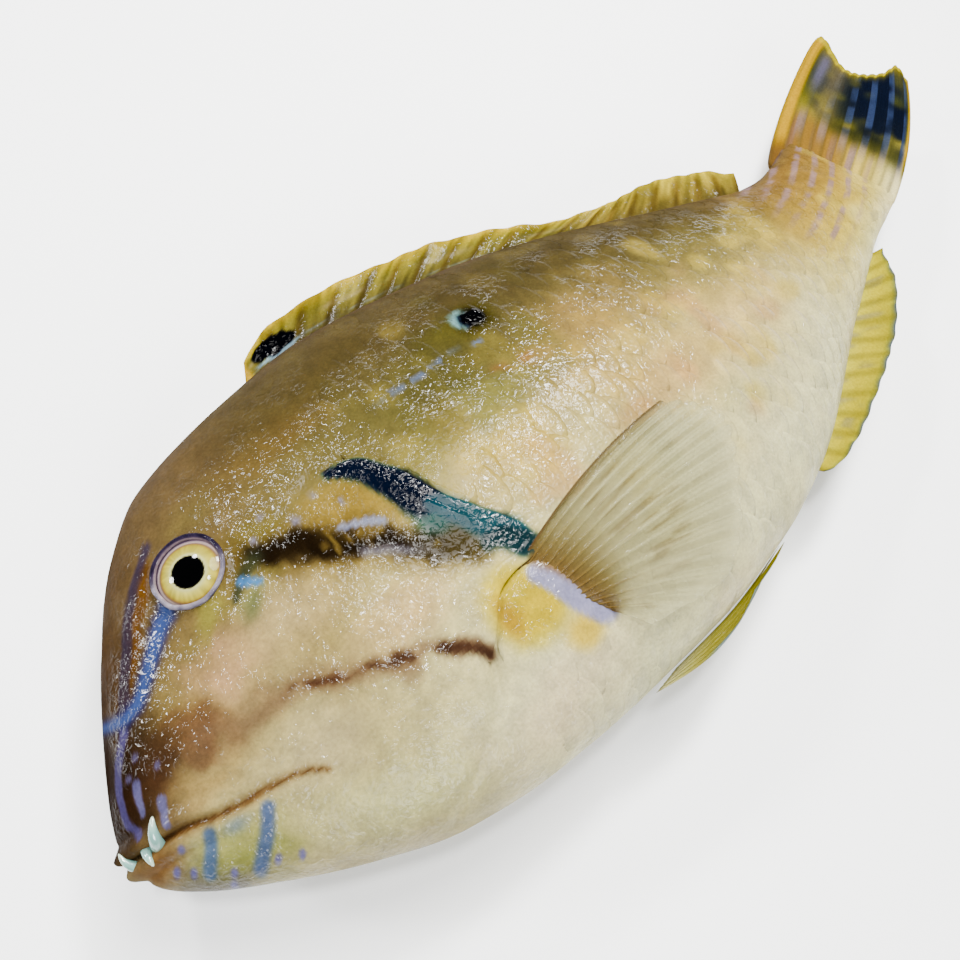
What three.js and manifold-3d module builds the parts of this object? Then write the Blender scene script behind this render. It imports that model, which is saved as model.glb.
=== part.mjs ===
// A blackspot tuskfish lying on its right flank, life size, in millimetres.
// The head points to -X, the back to +Y, and the left flank looks up (+Z).
// Shapes are first made in the straight fish: x from the snout to the tail, y towards the back,
// z towards the left flank, with z = 0 on the plane of symmetry. Then the tail is bent towards
// the back and the fish is lifted so that the flattened right flank lies on z = 0.
import * as THREE from 'three';
import { mergeVertices } from 'three/addons/utils/BufferGeometryUtils.js';
import Module from 'manifold-3d';

const wasm = await Module();
wasm.setup();

// driving dimensions
const bodyLength = 354; // snout to the end of the scaled tail stem
const restHeight = 30; // plane of symmetry above the ground; the right flank is pressed flat
const gap = 0.3; // clearance between neighbouring pieces
const bendStart = 292; // the tail bends towards the back from here
const bendPerMm = 4.9e-3; // radians of bend for each millimetre of tail
const originX = 211.1; // snout to the middle of the whole fish
const originY = 6.9; // axis of the straight fish to the middle of its depth
const sideMiddle = 0.47; // widest part of a section, from the belly up
const bodyRings = 50;
const bodySides = 32;
const innerRings = 18; // the hidden back of the gill covers is coarser
const innerSides = 14;

// outline of the body: [x, y] of back and belly, [x, half width]
const backPoints = [
  [0, -12], [4, -2], [12, 13.5], [24, 33.3], [40, 53.6], [58, 68], [80, 75], [104, 79.8],
  [125, 82], [180, 75], [215, 65.5], [280, 40], [305, 31], [325, 28], [354, 29.5],
];
const bellyPoints = [
  [0, -17], [4, -25.8], [10, -32.2], [25, -43.6], [45, -56], [70, -67.5], [100, -73.5], [132, -76],
  [165, -76.5], [200, -73], [231, -65.5], [290, -38], [315, -27], [332, -22.5], [354, -21.5],
];
const halfWidthPoints = [
  [0, 3], [8, 10], [25, 18], [50, 25], [80, 29.5], [120, 32], [160, 32], [200, 30], [240, 25],
  [280, 19], [320, 12], [342, 7.5], [354, 4],
];
// fullness of the sections: exponent of the superellipse above and below the widest part
const upperFullness = [[0, 2.2], [60, 2.1], [110, 1.75], [340, 1.9]];
const lowerFullness = [[0, 2.1], [60, 2.2], [340, 2.0]];

const eyePlace = [54.2, 31.6];
const eyeRadius = 10.6; // in the plane of the skin
const eyeDepth = 6; // half thickness of the eyeball across that plane
const eyeSink = 3.2; // centre of the eyeball below the skin
const eyeRimRadius = 9.9;
const eyeRimTube = 1.3;
const eyeRimSink = 0.1;
const nostrils = [[44.6, 30.4, 1.0], [39.4, 26.6, 0.8]]; // x, y, radius
const nostrilDepth = 2;
const nostrilRimTube = 0.6;

const mouthLine = [
  [-6, -14.6], [2, -15.6], [8, -17], [17, -18.9], [24, -22], [31.5, -24.5], [39.5, -26.5], [47, -29.5],
];
const mouthGapFront = 1.1;
const mouthGapBack = 0.45;
const lipTube = 2.4; // radius of the lips at the front of the mouth
const lipFront = 2.3; // x of the middle of the lips
const lipLength = 39; // from there to the corner of the mouth
const lipSink = 0.7; // axis of the lips below the skin
const upperJawLine = [[-6, 3], [7, 1.5], [17, -5], [31, -16], [47, -29.5]];
const jawJointLine = [[47, -29.5], [51, -42], [60, -70]];

// teeth: root, tip, root radius, which jaw; each is made on both sides
const canines = [
  { jaw: 'lower', root: [9.7, -21, 9.4], tip: [13.7, -12.4, 15.6], bow: [-1, -0.8, 4.2], radius: 1.9 },
  { jaw: 'lower', root: [4.2, -20.6, 3], tip: [-0.7, -12.6, 3.7], bow: [-1.8, -1.2, 0.3], radius: 1.4 },
  { jaw: 'upper', root: [8, -13.2, 7.6], tip: [6, -20.9, 10.6], bow: [-0.6, 0, 2.4], radius: 1.65 },
];

// gill cover, seen from the side
const gillCoverOutline = [
  [86, 26], [103, 28], [112, 16], [116.5, 1], [124, -13], [128.5, -25], [113, -27], [103, -35], [98, -41],
  [90, -51], [78, -45], [70, -29], [67, -10], [71, 8], [78, 19],
];
const gillCoverRise = 0.8;
const gillCoverThickness = 5;
const gillOpeningLine = [
  [98, 90], [98.5, 50], [99, 22], [104, 5], [106, -14], [100, -26], [90, -36], [84, -50], [74, -80],
];

const trunkEnds = [222, 300]; // where the trunk, the hind trunk and the tail stem meet

// fins: half thickness of the membrane and of the rays at the root and at the edge
const membrane = { root: 0.45, edge: 0.32 };
const rayHalf = { root: 1.05, edge: 0.42 };
const finRoot = 2.5; // depth of the roots of the upright fins before the body is cut from them
const rayFoot = 0.22; // from the middle of a ray to its foot, as a share of the ray spacing

const across = new THREE.Vector3(0, 0, 1);
const clamp = THREE.MathUtils.clamp;
const lerp = THREE.MathUtils.lerp;

// smooth curve through points without overshoot (monotone cubic)
function profile(points) {
  const slopes = points.slice(1).map((p, i) => (p[1] - points[i][1]) / (p[0] - points[i][0]));
  const tangents = points.map((_, i) => {
    if (i === 0) return slopes[0];
    if (i === points.length - 1) return slopes[i - 1];
    const [a, b] = [slopes[i - 1], slopes[i]];
    return a * b > 0 ? (2 * a * b) / (a + b) : 0;
  });
  return (x) => {
    const t = clamp(x, points[0][0], points.at(-1)[0]);
    let i = 0;
    while (i < points.length - 2 && t > points[i + 1][0]) i += 1;
    const span = points[i + 1][0] - points[i][0];
    const s = (t - points[i][0]) / span;
    const [y0, y1] = [points[i][1], points[i + 1][1]];
    const rise = s * s * (3 - 2 * s);
    const in0 = s * (1 - s) * (1 - s) * span * tangents[i];
    const in1 = s * s * (s - 1) * span * tangents[i + 1];
    return y0 + (y1 - y0) * rise + in0 + in1;
  };
}

const back = profile(backPoints);
const belly = profile(bellyPoints);
const halfWidth = profile(halfWidthPoints);
const fullAbove = profile(upperFullness);
const fullBelow = profile(lowerFullness);
const middle = (x) => lerp(belly(x), back(x), sideMiddle);

// point of the skin in the section at x, at an angle from the left flank up to the back
function skinPoint(x, angle, grow = 0) {
  const [c, s] = [Math.cos(angle), Math.sin(angle)];
  const centre = middle(x);
  const height = s > 0 ? back(x) - centre : centre - belly(x);
  const power = 2 / (s > 0 ? fullAbove(x) : fullBelow(x));
  const z = (halfWidth(x) + grow) * Math.sign(c) * Math.abs(c) ** power;
  const y = centre + (height + grow) * Math.sign(s) * Math.abs(s) ** power;
  return new THREE.Vector3(x, y, z);
}

// half width of the body at x, y
function skinZ(x, y) {
  const centre = middle(x);
  const up = y > centre;
  const reach = clamp(Math.abs(y - centre) / (up ? back(x) - centre : centre - belly(x)), 0, 1);
  const power = up ? fullAbove(x) : fullBelow(x);
  return halfWidth(x) * (1 - reach ** power) ** (1 / power);
}

function skinNormal(x, y) {
  const step = 0.5;
  const slopeX = (skinZ(x + step, y) - skinZ(x - step, y)) / (2 * step);
  const slopeY = (skinZ(x, y + step) - skinZ(x, y - step)) / (2 * step);
  return new THREE.Vector3(-slopeX, -slopeY, 1).normalize();
}

// solids
function solid(geometry) {
  const bare = geometry.index ? geometry.clone() : geometry;
  bare.deleteAttribute('normal');
  bare.deleteAttribute('uv');
  const merged = mergeVertices(bare, 1e-4);
  const mesh = new wasm.Mesh({
    numProp: 3,
    vertProperties: new Float32Array(merged.attributes.position.array),
    triVerts: new Uint32Array(merged.index.array),
  });
  const made = new wasm.Manifold(mesh);
  if (made.volume() > 0) return made;
  mesh.triVerts = mesh.triVerts.map((_, i, all) => all[i - (i % 3) + (2 - (i % 3))]);
  return new wasm.Manifold(mesh);
}

function largest(made) {
  return made.decompose().sort((a, b) => b.volume() - a.volume())[0];
}

function reshape(geometry, move) {
  const place = geometry.attributes.position;
  const point = new THREE.Vector3();
  for (let i = 0; i < place.count; i += 1) {
    const moved = move(point.fromBufferAttribute(place, i));
    place.setXYZ(i, moved.x, moved.y, moved.z);
  }
  return geometry;
}

// a sphere whose poles are the snout and the tail end, drawn out to the body's sections
function bodySolid(grow, rings = bodyRings, sides = bodySides) {
  const ball = new THREE.SphereGeometry(1, sides, rings);
  return solid(reshape(ball, (p) => {
    const along = Math.acos(clamp(p.y, -1, 1)) / Math.PI;
    if (along < 1e-6 || along > 1 - 1e-6) {
      const end = along < 0.5 ? -grow : bodyLength + grow;
      return new THREE.Vector3(end, middle(clamp(end, 0, bodyLength)), 0);
    }
    const ring = clamp((along * rings - 1) / (rings - 2), 0, 1);
    const x = bodyLength * ring ** 1.35;
    const point = skinPoint(x, Math.atan2(p.z, p.x), grow);
    point.x = x + grow * (2 * ring - 1);
    return point;
  }));
}

// an upright prism over an outline in x, y
function prism(points, low = -60, high = 60) {
  const shape = new THREE.Shape(points.map(([x, y]) => new THREE.Vector2(x, y)));
  const block = new THREE.ExtrudeGeometry(shape, { depth: high - low, bevelEnabled: false });
  return solid(block.translate(0, 0, low));
}

// an outline moved outwards by a distance
function grownOutline(points, distance) {
  const turn = Math.sign(THREE.ShapeUtils.area(points.map(([x, y]) => ({ x, y }))));
  return points.map(([x, y], i) => {
    const [x0, y0] = points.at(i - 1);
    const [x1, y1] = points[(i + 1) % points.length];
    const a = new THREE.Vector2(y - y0, x0 - x).normalize();
    const b = new THREE.Vector2(y1 - y, x - x1).normalize();
    const push = a.clone().add(b).normalize();
    const reach = (distance * turn) / Math.max(0.5, push.dot(a));
    return [x + push.x * reach, y + push.y * reach];
  });
}

function smoothLine(points, steps) {
  const curve = new THREE.CatmullRomCurve3(points.map(([x, y]) => new THREE.Vector3(x, y, 0)));
  return curve.getPoints(steps).map((p) => [p.x, p.y]);
}

function smoothOutline(points, steps) {
  const corners = points.map(([x, y]) => new THREE.Vector3(x, y, 0));
  const curve = new THREE.CatmullRomCurve3(corners, true, 'centripetal');
  return curve.getPoints(steps).slice(0, -1).map((p) => [p.x, p.y]);
}

// a thin wall along a line in x, y, through the whole fish; width is a function of 0..1
function wall(points, width) {
  const sides = [[], []];
  points.forEach(([x, y], i) => {
    const [x0, y0] = points[Math.max(0, i - 1)];
    const [x1, y1] = points[Math.min(points.length - 1, i + 1)];
    const aside = new THREE.Vector2(y0 - y1, x1 - x0).normalize();
    const half = width(i / (points.length - 1)) / 2;
    sides[0].push([x + aside.x * half, y + aside.y * half]);
    sides[1].unshift([x - aside.x * half, y - aside.y * half]);
  });
  return prism([...sides[0], ...sides[1]]);
}

// a round rod along a path, its radius a function of 0..1
function rod(path, radius, rings, sides) {
  const bar = new THREE.CylinderGeometry(1, 1, 1, sides, rings);
  const steady = new THREE.Vector3(0.05, 0.02, 1);
  return solid(reshape(bar, (p) => {
    const t = clamp(p.y + 0.5, 0, 1);
    const along = path(Math.min(1, t + 0.01)).sub(path(Math.max(0, t - 0.01))).normalize();
    const side = new THREE.Vector3().crossVectors(along, steady).normalize();
    const up = new THREE.Vector3().crossVectors(side, along);
    return path(t).addScaledVector(side, p.x * radius(t)).addScaledVector(up, p.z * radius(t));
  }));
}

// columns of a fin's grid: the two feet and the crest of each ray, from the front edge to the rear
function rayColumns(rays) {
  const span = rays - 1 + 2 * rayFoot;
  return Array.from({ length: rays * 3 }, (_, i) => {
    const step = i % 3;
    return { u: (Math.floor(i / 3) + step * rayFoot) / span, crest: step === 1 };
  });
}

// a closed fin: both faces have the same grid and the same diagonals, and each ray is a low ridge
function finSheet(rays, rows, middleAt, { thin = 1, outAt = () => across } = {}) {
  const columns = rayColumns(rays);
  const rowSize = columns.length;
  const faceSize = rowSize * (rows + 1);
  const place = [];
  for (const side of [1, -1]) {
    for (let j = 0; j <= rows; j += 1) {
      for (const { u, crest } of columns) {
        const v = j / rows;
        const { root, edge } = crest ? rayHalf : membrane;
        const p = middleAt(u, v, crest).addScaledVector(outAt(u, v), side * thin * lerp(root, edge, v));
        place.push(p.x, p.y, p.z);
      }
    }
  }
  const at = (i, j) => j * rowSize + i;
  const last = rowSize - 1;
  const faces = [];
  const rim = [];
  for (let j = 0; j < rows; j += 1) {
    for (let i = 0; i < last; i += 1) {
      const [a, b, c, d] = [at(i, j), at(i + 1, j), at(i + 1, j + 1), at(i, j + 1)];
      faces.push(a, b, c, a, c, d);
      faces.push(...[a, c, b, a, d, c].map((k) => k + faceSize));
    }
    rim.push([at(last, j), at(last, j + 1)], [at(0, j + 1), at(0, j)]);
  }
  for (let i = 0; i < last; i += 1) rim.push([at(i, 0), at(i + 1, 0)], [at(i + 1, rows), at(i, rows)]);
  for (const [a, b] of rim) faces.push(a, a + faceSize, b + faceSize, a, b + faceSize, b);
  const geometry = new THREE.BufferGeometry();
  geometry.setAttribute('position', new THREE.Float32BufferAttribute(place, 3));
  geometry.setIndex(faces);
  return solid(geometry);
}

// dorsal fin: height above the back, measured where the edge is
const dorsalHeight = profile([
  [103, 0.6], [108, 5], [125, 12], [150, 14.2], [180, 14.4], [207, 13], [221, 10.8], [236, 8.4], [255, 10],
  [276, 16], [290, 17.2], [304, 16], [317, 9],
]);
function dorsalFin(from, to, rays, rake, tipRise) {
  return finSheet(rays, 4, (u, v, crest) => {
    const x = lerp(from, to, u);
    const edgeX = x + rake(u);
    const root = back(x) - finRoot;
    const edge = back(edgeX) + dorsalHeight(edgeX) - (crest ? 0 : tipRise);
    return new THREE.Vector3(lerp(x, edgeX, v), lerp(root, edge, v), 0);
  });
}

// anal fin: depth below the belly, measured where the edge is
const analDepth = profile([
  [231, 1], [236, 5], [246, 8.5], [265, 13.5], [283, 15.8], [299, 17], [313, 12.5], [327, 3.4],
]);
function analFin() {
  const rays = 13;
  return finSheet(rays, 3, (u, v, crest) => {
    const x = lerp(230, 317.5, u);
    const edgeX = x + lerp(2, 9.5, u);
    const root = belly(x) + finRoot;
    const edge = belly(edgeX) - analDepth(edgeX) + (crest ? 0 : 0.8);
    return new THREE.Vector3(lerp(x, edgeX, v), lerp(root, edge, v), 0);
  });
}

const caudalUpperTip = [435, 24];
const caudalLowerTip = [421, -16.5];
const caudalRootX = [332, 348]; // the first short rays ride on the upper edge of the stem
const caudalNotchX = 417.5;
const caudalBow = 10.2; // the upper edge bulges towards the back
function caudalFin() {
  const rays = 13;
  return finSheet(rays, 6, (u, v, crest) => {
    const upper = (caudalUpperTip[0] - caudalNotchX) * Math.exp(-((u / 0.15) ** 2));
    const lower = 8 * Math.exp(-(((u - 0.86) / 0.12) ** 2));
    const edgeX = caudalNotchX + upper + lower - (crest ? 0 : 1);
    const edge = [edgeX, lerp(caudalUpperTip[1], caudalLowerTip[1], u)];
    const rootX = lerp(caudalRootX[0], caudalRootX[1], Math.min(1, 5 * u));
    const root = [rootX, lerp(back(rootX) - 1, belly(rootX) + 0.3, u)];
    const bow = caudalBow * (1 - u) ** 2 * Math.sin(Math.PI * v) ** 0.6;
    return new THREE.Vector3(lerp(root[0], edge[0], v), lerp(root[1], edge[1], v) + bow, 0);
  });
}

// pectoral fin: root line, then the edge from the leading ray round to the last one
const pectoralEdges = {
  left: { root: [[119, -27.5], [132.5, -52.5]], lead: 3, rays: 14, lift: 2.6, edge: [
    [0, 185, -18.5], [0.13, 193.5, -24.5], [0.3, 198.5, -34], [0.5, 190.5, -47], [0.66, 180, -58],
    [0.82, 165, -65.5], [1, 138, -60.5],
  ] },
  right: { root: [[123.5, -41.5], [134, -57]], lead: 1, rays: 14, lift: 0.9, edge: [
    [0, 188, -46], [0.2, 195, -51], [0.5, 190, -58], [0.8, 172, -65], [1, 152, -67],
  ] },
};
const pectoralClear = 0.95; // middle of the fin above the skin at its root, beyond the gap
const pectoralThin = 0.85;
function pectoralFin(side, sign) {
  const { root, lead, rays, lift, edge } = pectoralEdges[side];
  const edgeX = profile(edge.map(([u, x]) => [u, x]));
  const edgeY = profile(edge.map(([u, , y]) => [u, y]));
  const flat = (u, v, crest) => {
    const x = lerp(lerp(root[0][0], root[1][0], u), edgeX(u) - (crest ? 0 : 1.5), v);
    const y = lerp(lerp(root[0][1], root[1][1], u), edgeY(u), v) + lead * (1 - u) * 4 * v * (1 - v);
    return [x, y];
  };
  const outAt = (u, v) => {
    const n = skinNormal(...flat(u, v));
    return n.setZ(n.z * sign);
  };
  return finSheet(rays, 5, (u, v, crest) => {
    const [x, y] = flat(u, v, crest);
    const raised = gap + pectoralClear + lift * v * v;
    const p = new THREE.Vector3(x, y, skinZ(x, y)).addScaledVector(skinNormal(x, y), raised);
    return p.setZ(p.z * sign);
  }, { thin: pectoralThin, outAt });
}

// pelvic fin: a folded blade along the belly, beside the plane of symmetry
function pelvicFin(sign, lean) {
  const rays = 6;
  return finSheet(rays, 5, (u, v) => {
    const rootX = lerp(135, 145, u);
    const tipX = lerp(187, 200, u ** 0.5);
    const x = lerp(rootX, tipX, v);
    const clear = lerp(3.6 * Math.sin(Math.PI * Math.min(1, v * 1.1 + 0.05)) + 0.9, 0.4, u);
    const y = belly(x) - clear - lerp(0.6, 0.1, u) * v;
    return new THREE.Vector3(x, y, sign * (1.9 + lean * (1 - u) * v));
  });
}

// head details
function eyeball(sign, grow) {
  const ball = new THREE.SphereGeometry(1, 20, 10);
  ball.scale(eyeRadius + grow, eyeRadius + grow, eyeDepth + grow);
  return placedOnSkin(ball, eyePlace, sign, -eyeSink);
}

// a geometry made around the z axis, stood on the skin at x, y
function placedOnSkin(geometry, [x, y], sign, rise) {
  const normal = skinNormal(x, y);
  const turn = new THREE.Quaternion().setFromUnitVectors(across, normal);
  const centre = new THREE.Vector3(x, y, skinZ(x, y)).addScaledVector(normal, rise);
  return solid(reshape(geometry, (p) => {
    p.applyQuaternion(turn).add(centre);
    return p.setZ(p.z * sign);
  }));
}

function eyeRim(sign) {
  return placedOnSkin(new THREE.TorusGeometry(eyeRimRadius, eyeRimTube, 5, 20), eyePlace, sign, -eyeRimSink);
}

function nostril(sign, [x, y, radius]) {
  const pit = new THREE.CylinderGeometry(radius, radius * 0.7, nostrilDepth, 8).rotateX(Math.PI / 2);
  return placedOnSkin(pit, [x, y], sign, 0.9 - nostrilDepth / 2);
}

function nostrilRim(sign, [x, y, radius]) {
  return placedOnSkin(new THREE.TorusGeometry(radius + 0.5, nostrilRimTube, 5, 9), [x, y], sign, 0);
}

function lips() {
  const lineY = profile(mouthLine);
  const path = (t) => {
    const side = 2 * t - 1;
    const x = lipFront + lipLength * Math.abs(side) ** 1.5;
    const y = lineY(x);
    return new THREE.Vector3(x, y, Math.sign(side) * Math.max(0, skinZ(x, y) - lipSink));
  };
  return rod(path, (t) => lipTube * (1 - 0.8 * Math.abs(2 * t - 1) ** 1.4), 26, 8);
}

function tooth({ root, tip, bow, radius }, sign, grow = 0) {
  const mirrored = ([x, y, z]) => new THREE.Vector3(x, y, z * sign);
  const [a, b, swell] = [mirrored(root), mirrored(tip), mirrored(bow)];
  const path = (t) => a.clone().lerp(b, t).addScaledVector(swell, 4 * t * (1 - t) * 0.5);
  return rod(path, (t) => radius * Math.sqrt(1.02 - t) * (1 - 0.25 * t) + grow, 6, 8);
}

function sum(pieces) {
  return pieces.reduce((all, piece) => all.add(piece));
}

// the fish in one piece, then parted
const bothSides = [1, -1];
const ground = solid(new THREE.BoxGeometry(600, 400, 60).translate(200, 0, -restHeight - 30));
const skin = bodySolid(0);
const clearSkin = bodySolid(gap);

const coverShape = smoothOutline(gillCoverOutline, 44);
const coverClear = prism(grownOutline(coverShape, gap));
const coverRoom = coverClear.subtract(bodySolid(-gillCoverThickness - gap, innerRings, innerSides));
const coverShell = bodySolid(gillCoverRise).subtract(bodySolid(-gillCoverThickness, innerRings, innerSides));
const covers = coverShell.intersect(prism(coverShape)).subtract(ground);

const rims = bothSides.flatMap((sign) => [eyeRim(sign), ...nostrils.map((n) => nostrilRim(sign, n))]);
const holes = bothSides.flatMap((sign) => [eyeball(sign, gap), ...nostrils.map((n) => nostril(sign, n))]);
const walls = [
  wall(smoothLine(mouthLine, 24), (t) => lerp(mouthGapFront, mouthGapBack, t)),
  wall(smoothLine(upperJawLine, 16), () => gap),
  wall(smoothLine(jawJointLine, 8), () => gap),
  wall(smoothLine(gillOpeningLine, 24), () => gap),
  ...trunkEnds.map((x) => wall([[x, -120], [x, 120]], () => gap)),
];
const fish = sum([skin, lips(), ...rims]).subtract(sum([coverRoom, ...holes, ...walls, ground]));
const bodyPieces = fish.decompose().sort((a, b) => b.volume() - a.volume());

// the body piece whose box is centred nearest to x, y
function pieceNear(x, y) {
  const score = (piece) => {
    const { min, max } = piece.boundingBox();
    return Math.hypot((min[0] + max[0]) / 2 - x, (min[1] + max[1]) / 2 - y);
  };
  return bodyPieces.slice(0, 6).sort((a, b) => score(a) - score(b))[0];
}

// a jaw with its own teeth, notched where the teeth of the other jaw lie against its lip
function withTeeth(jaw, name) {
  const own = canines.filter((c) => c.jaw === name).flatMap((c) => bothSides.map((s) => tooth(c, s)));
  const other = canines.filter((c) => c.jaw !== name).flatMap((c) => bothSides.map((s) => tooth(c, s, gap)));
  return largest(sum([jaw, ...own]).subtract(sum(other)));
}

function rootedFin(fin) {
  return largest(fin.subtract(clearSkin));
}

const coverPieces = covers.decompose();
const coverOn = (sign) => coverPieces.sort((a, b) => b.volume() - a.volume()).slice(0, 2)
  .find((piece) => Math.sign(piece.boundingBox().min[2] + piece.boundingBox().max[2]) === sign);

const spinyFin = dorsalFin(104.5, 236, 13, (u) => lerp(6, 12, Math.min(1, u * 3)), 1.6);
const softFin = dorsalFin(236.8, 305.5, 7, () => 11.5, 0.7);
const softFinRoom = softFin.scale([1, 1, 1.5]).translate([-gap, 0, 0]);

const lowerJaw = withTeeth(pieceNear(29, -42), 'lower');
const upperJaw = withTeeth(pieceNear(22, -12), 'upper');

// bend of the tail and place of the whole fish
function posed(p) {
  const past = Math.max(0, p.x - bendStart);
  const turn = past * bendPerMm;
  const axisX = past > 0 ? bendStart + Math.sin(turn) / bendPerMm : p.x;
  const axisY = past > 0 ? (1 - Math.cos(turn)) / bendPerMm : 0;
  return new THREE.Vector3(
    axisX - p.y * Math.sin(turn) - originX,
    axisY + p.y * Math.cos(turn) - originY,
    p.z + restHeight,
  );
}

const group = new THREE.Group();

function addPiece(name, made, color, roughness) {
  const { vertProperties, triVerts } = largest(made).getMesh();
  const geometry = new THREE.BufferGeometry();
  geometry.setAttribute('position', new THREE.Float32BufferAttribute(vertProperties, 3));
  geometry.setIndex(Array.from(triVerts));
  reshape(geometry, posed);
  geometry.computeVertexNormals();
  const material = new THREE.MeshStandardMaterial({ color, roughness, metalness: 0 });
  const mesh = new THREE.Mesh(geometry, material);
  mesh.name = name;
  group.add(mesh);
}

const colors = {
  head: 0xa8925c,
  lips: 0x8f6a3e,
  jaw: 0xb3a860,
  flank: 0xb0a25c,
  fin: 0xc2a92c,
  eye: 0xd8c24a,
};
addPiece('head', pieceNear(55, 10), colors.head, 0.3);
addPiece('upper_jaw', upperJaw, colors.lips, 0.3);
addPiece('lower_jaw', lowerJaw, colors.jaw, 0.3);
addPiece('gill_cover_left', coverOn(1), colors.head, 0.3);
addPiece('gill_cover_right', coverOn(-1), colors.head, 0.3);
addPiece('trunk', pieceNear(155, 0), colors.flank, 0.3);
addPiece('hind_trunk', pieceNear(262, 0), colors.flank, 0.3);
addPiece('tail_stem', pieceNear(327, 2), colors.flank, 0.3);
for (const [side, sign] of [['left', 1], ['right', -1]]) {
  addPiece(`eye_${side}`, eyeball(sign, 0), colors.eye, 0.1);
  addPiece(`pectoral_fin_${side}`, rootedFin(pectoralFin(side, sign)).subtract(coverClear), colors.fin, 0.35);
  addPiece(`pelvic_fin_${side}`, pelvicFin(sign, side === 'left' ? 0.6 : 3.5), colors.fin, 0.35);
}
addPiece('dorsal_fin_spiny', rootedFin(spinyFin.subtract(softFinRoom)), colors.fin, 0.35);
addPiece('dorsal_fin_soft', rootedFin(softFin), colors.fin, 0.35);
addPiece('anal_fin', rootedFin(analFin()), colors.fin, 0.35);
addPiece('caudal_fin', rootedFin(caudalFin()), colors.fin, 0.35);

export default group;
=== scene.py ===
# A blackspot tuskfish, a wet market fish on its right flank, dressed round its CAD frame.
import math

import bmesh
import bpy
import numpy as np
from mathutils import Matrix, Vector


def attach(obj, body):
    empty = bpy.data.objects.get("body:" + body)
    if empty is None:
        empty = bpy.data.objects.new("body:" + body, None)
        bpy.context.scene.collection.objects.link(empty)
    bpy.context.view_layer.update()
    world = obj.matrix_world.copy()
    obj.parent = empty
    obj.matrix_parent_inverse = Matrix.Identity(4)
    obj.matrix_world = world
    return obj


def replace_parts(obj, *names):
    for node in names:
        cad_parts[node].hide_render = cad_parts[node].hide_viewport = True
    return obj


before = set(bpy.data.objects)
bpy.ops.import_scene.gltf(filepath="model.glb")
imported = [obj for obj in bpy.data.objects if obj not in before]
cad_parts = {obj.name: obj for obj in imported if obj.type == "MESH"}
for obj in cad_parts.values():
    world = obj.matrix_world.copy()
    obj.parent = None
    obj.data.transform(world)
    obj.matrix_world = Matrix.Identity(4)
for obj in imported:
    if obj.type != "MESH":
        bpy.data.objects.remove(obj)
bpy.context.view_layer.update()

scene = bpy.context.scene
mm = 0.001

# the straight fish in mm: x from the snout to the tail, y towards the back, z towards the left flank
fish = {
    "length": 354,
    "restHeight": 30,  # plane of symmetry above the ground
    "bendStart": 292,  # the tail bends towards the back from here
    "bendPerMm": 4.9e-3,
    "originX": 211.1,
    "originY": 6.9,
    "sideMiddle": 0.47,  # widest part of a section, from the belly up
    "scaleDepth": 0.35,  # the skin lies this far inside the solids, under the scales
}
outline = {
    "back": [
        (0, -12), (4, -2), (12, 13.5), (24, 33.3), (40, 53.6), (58, 68), (80, 75), (104, 79.8),
        (125, 82), (180, 75), (215, 65.5), (280, 40), (305, 31), (325, 28), (354, 29.5),
    ],
    "belly": [
        (0, -17), (4, -25.8), (10, -32.2), (25, -43.6), (45, -56), (70, -67.5), (100, -73.5), (132, -76),
        (165, -76.5), (200, -73), (231, -65.5), (290, -38), (315, -27), (332, -22.5), (354, -21.5),
    ],
    "halfWidth": [
        (0, 3), (8, 10), (25, 18), (50, 25), (80, 29.5), (120, 32), (160, 32), (200, 30), (240, 25),
        (280, 19), (320, 12), (342, 7.5), (354, 4),
    ],
    "fullAbove": [(0, 2.2), (60, 2.1), (110, 1.75), (340, 1.9)],  # superellipse exponents
    "fullBelow": [(0, 2.1), (60, 2.2), (340, 2.0)],
}


def profile(points):  # a smooth curve through points, without overshoot
    xs, ys = np.array(points, float).T
    slope = np.diff(ys) / np.diff(xs)
    before, after = slope[:-1], slope[1:]
    same = before * after > 0
    inner = np.where(same, 2 * before * after / np.where(same, before + after, 1), 0)
    tangent = np.concatenate([slope[:1], inner, slope[-1:]])

    def at(x):
        x = np.clip(x, xs[0], xs[-1])
        i = np.clip(np.searchsorted(xs, x, side="right") - 1, 0, len(xs) - 2)
        span = xs[i + 1] - xs[i]
        s = (x - xs[i]) / span
        rise = (ys[i + 1] - ys[i]) * s * s * (3 - 2 * s)
        return ys[i] + rise + s * (1 - s) ** 2 * span * tangent[i] + s * s * (s - 1) * span * tangent[i + 1]

    return at


back, belly, halfWidth, fullAbove, fullBelow = [profile(points) for points in outline.values()]


def blend(a, b, t):
    return a + (b - a) * t


def ease(t):  # 0 to 1 with soft ends
    t = np.clip(t, 0, 1)
    return t * t * (3 - 2 * t)


def middle(x):
    return blend(belly(x), back(x), fish["sideMiddle"])


def skinAt(x, angle, grow=0.0):  # angle runs from the left flank up to the back
    c, s = np.cos(angle), np.sin(angle)
    centre = middle(x)
    height = np.where(s > 0, back(x) - centre, centre - belly(x)) + grow
    power = 2 / np.where(s > 0, fullAbove(x), fullBelow(x))
    z = (halfWidth(x) + grow) * np.sign(c) * np.abs(c) ** power
    y = centre + height * np.sign(s) * np.abs(s) ** power
    return np.stack([x + 0 * y, y, z], -1)


def skinZ(x, y):  # half width of the body at x, y
    centre = middle(x)
    up = y > centre
    reach = np.clip(np.abs(y - centre) / np.where(up, back(x) - centre, centre - belly(x)), 0, 1)
    power = np.where(up, fullAbove(x), fullBelow(x))
    return halfWidth(x) * (1 - reach ** power) ** (1 / power)


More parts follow.
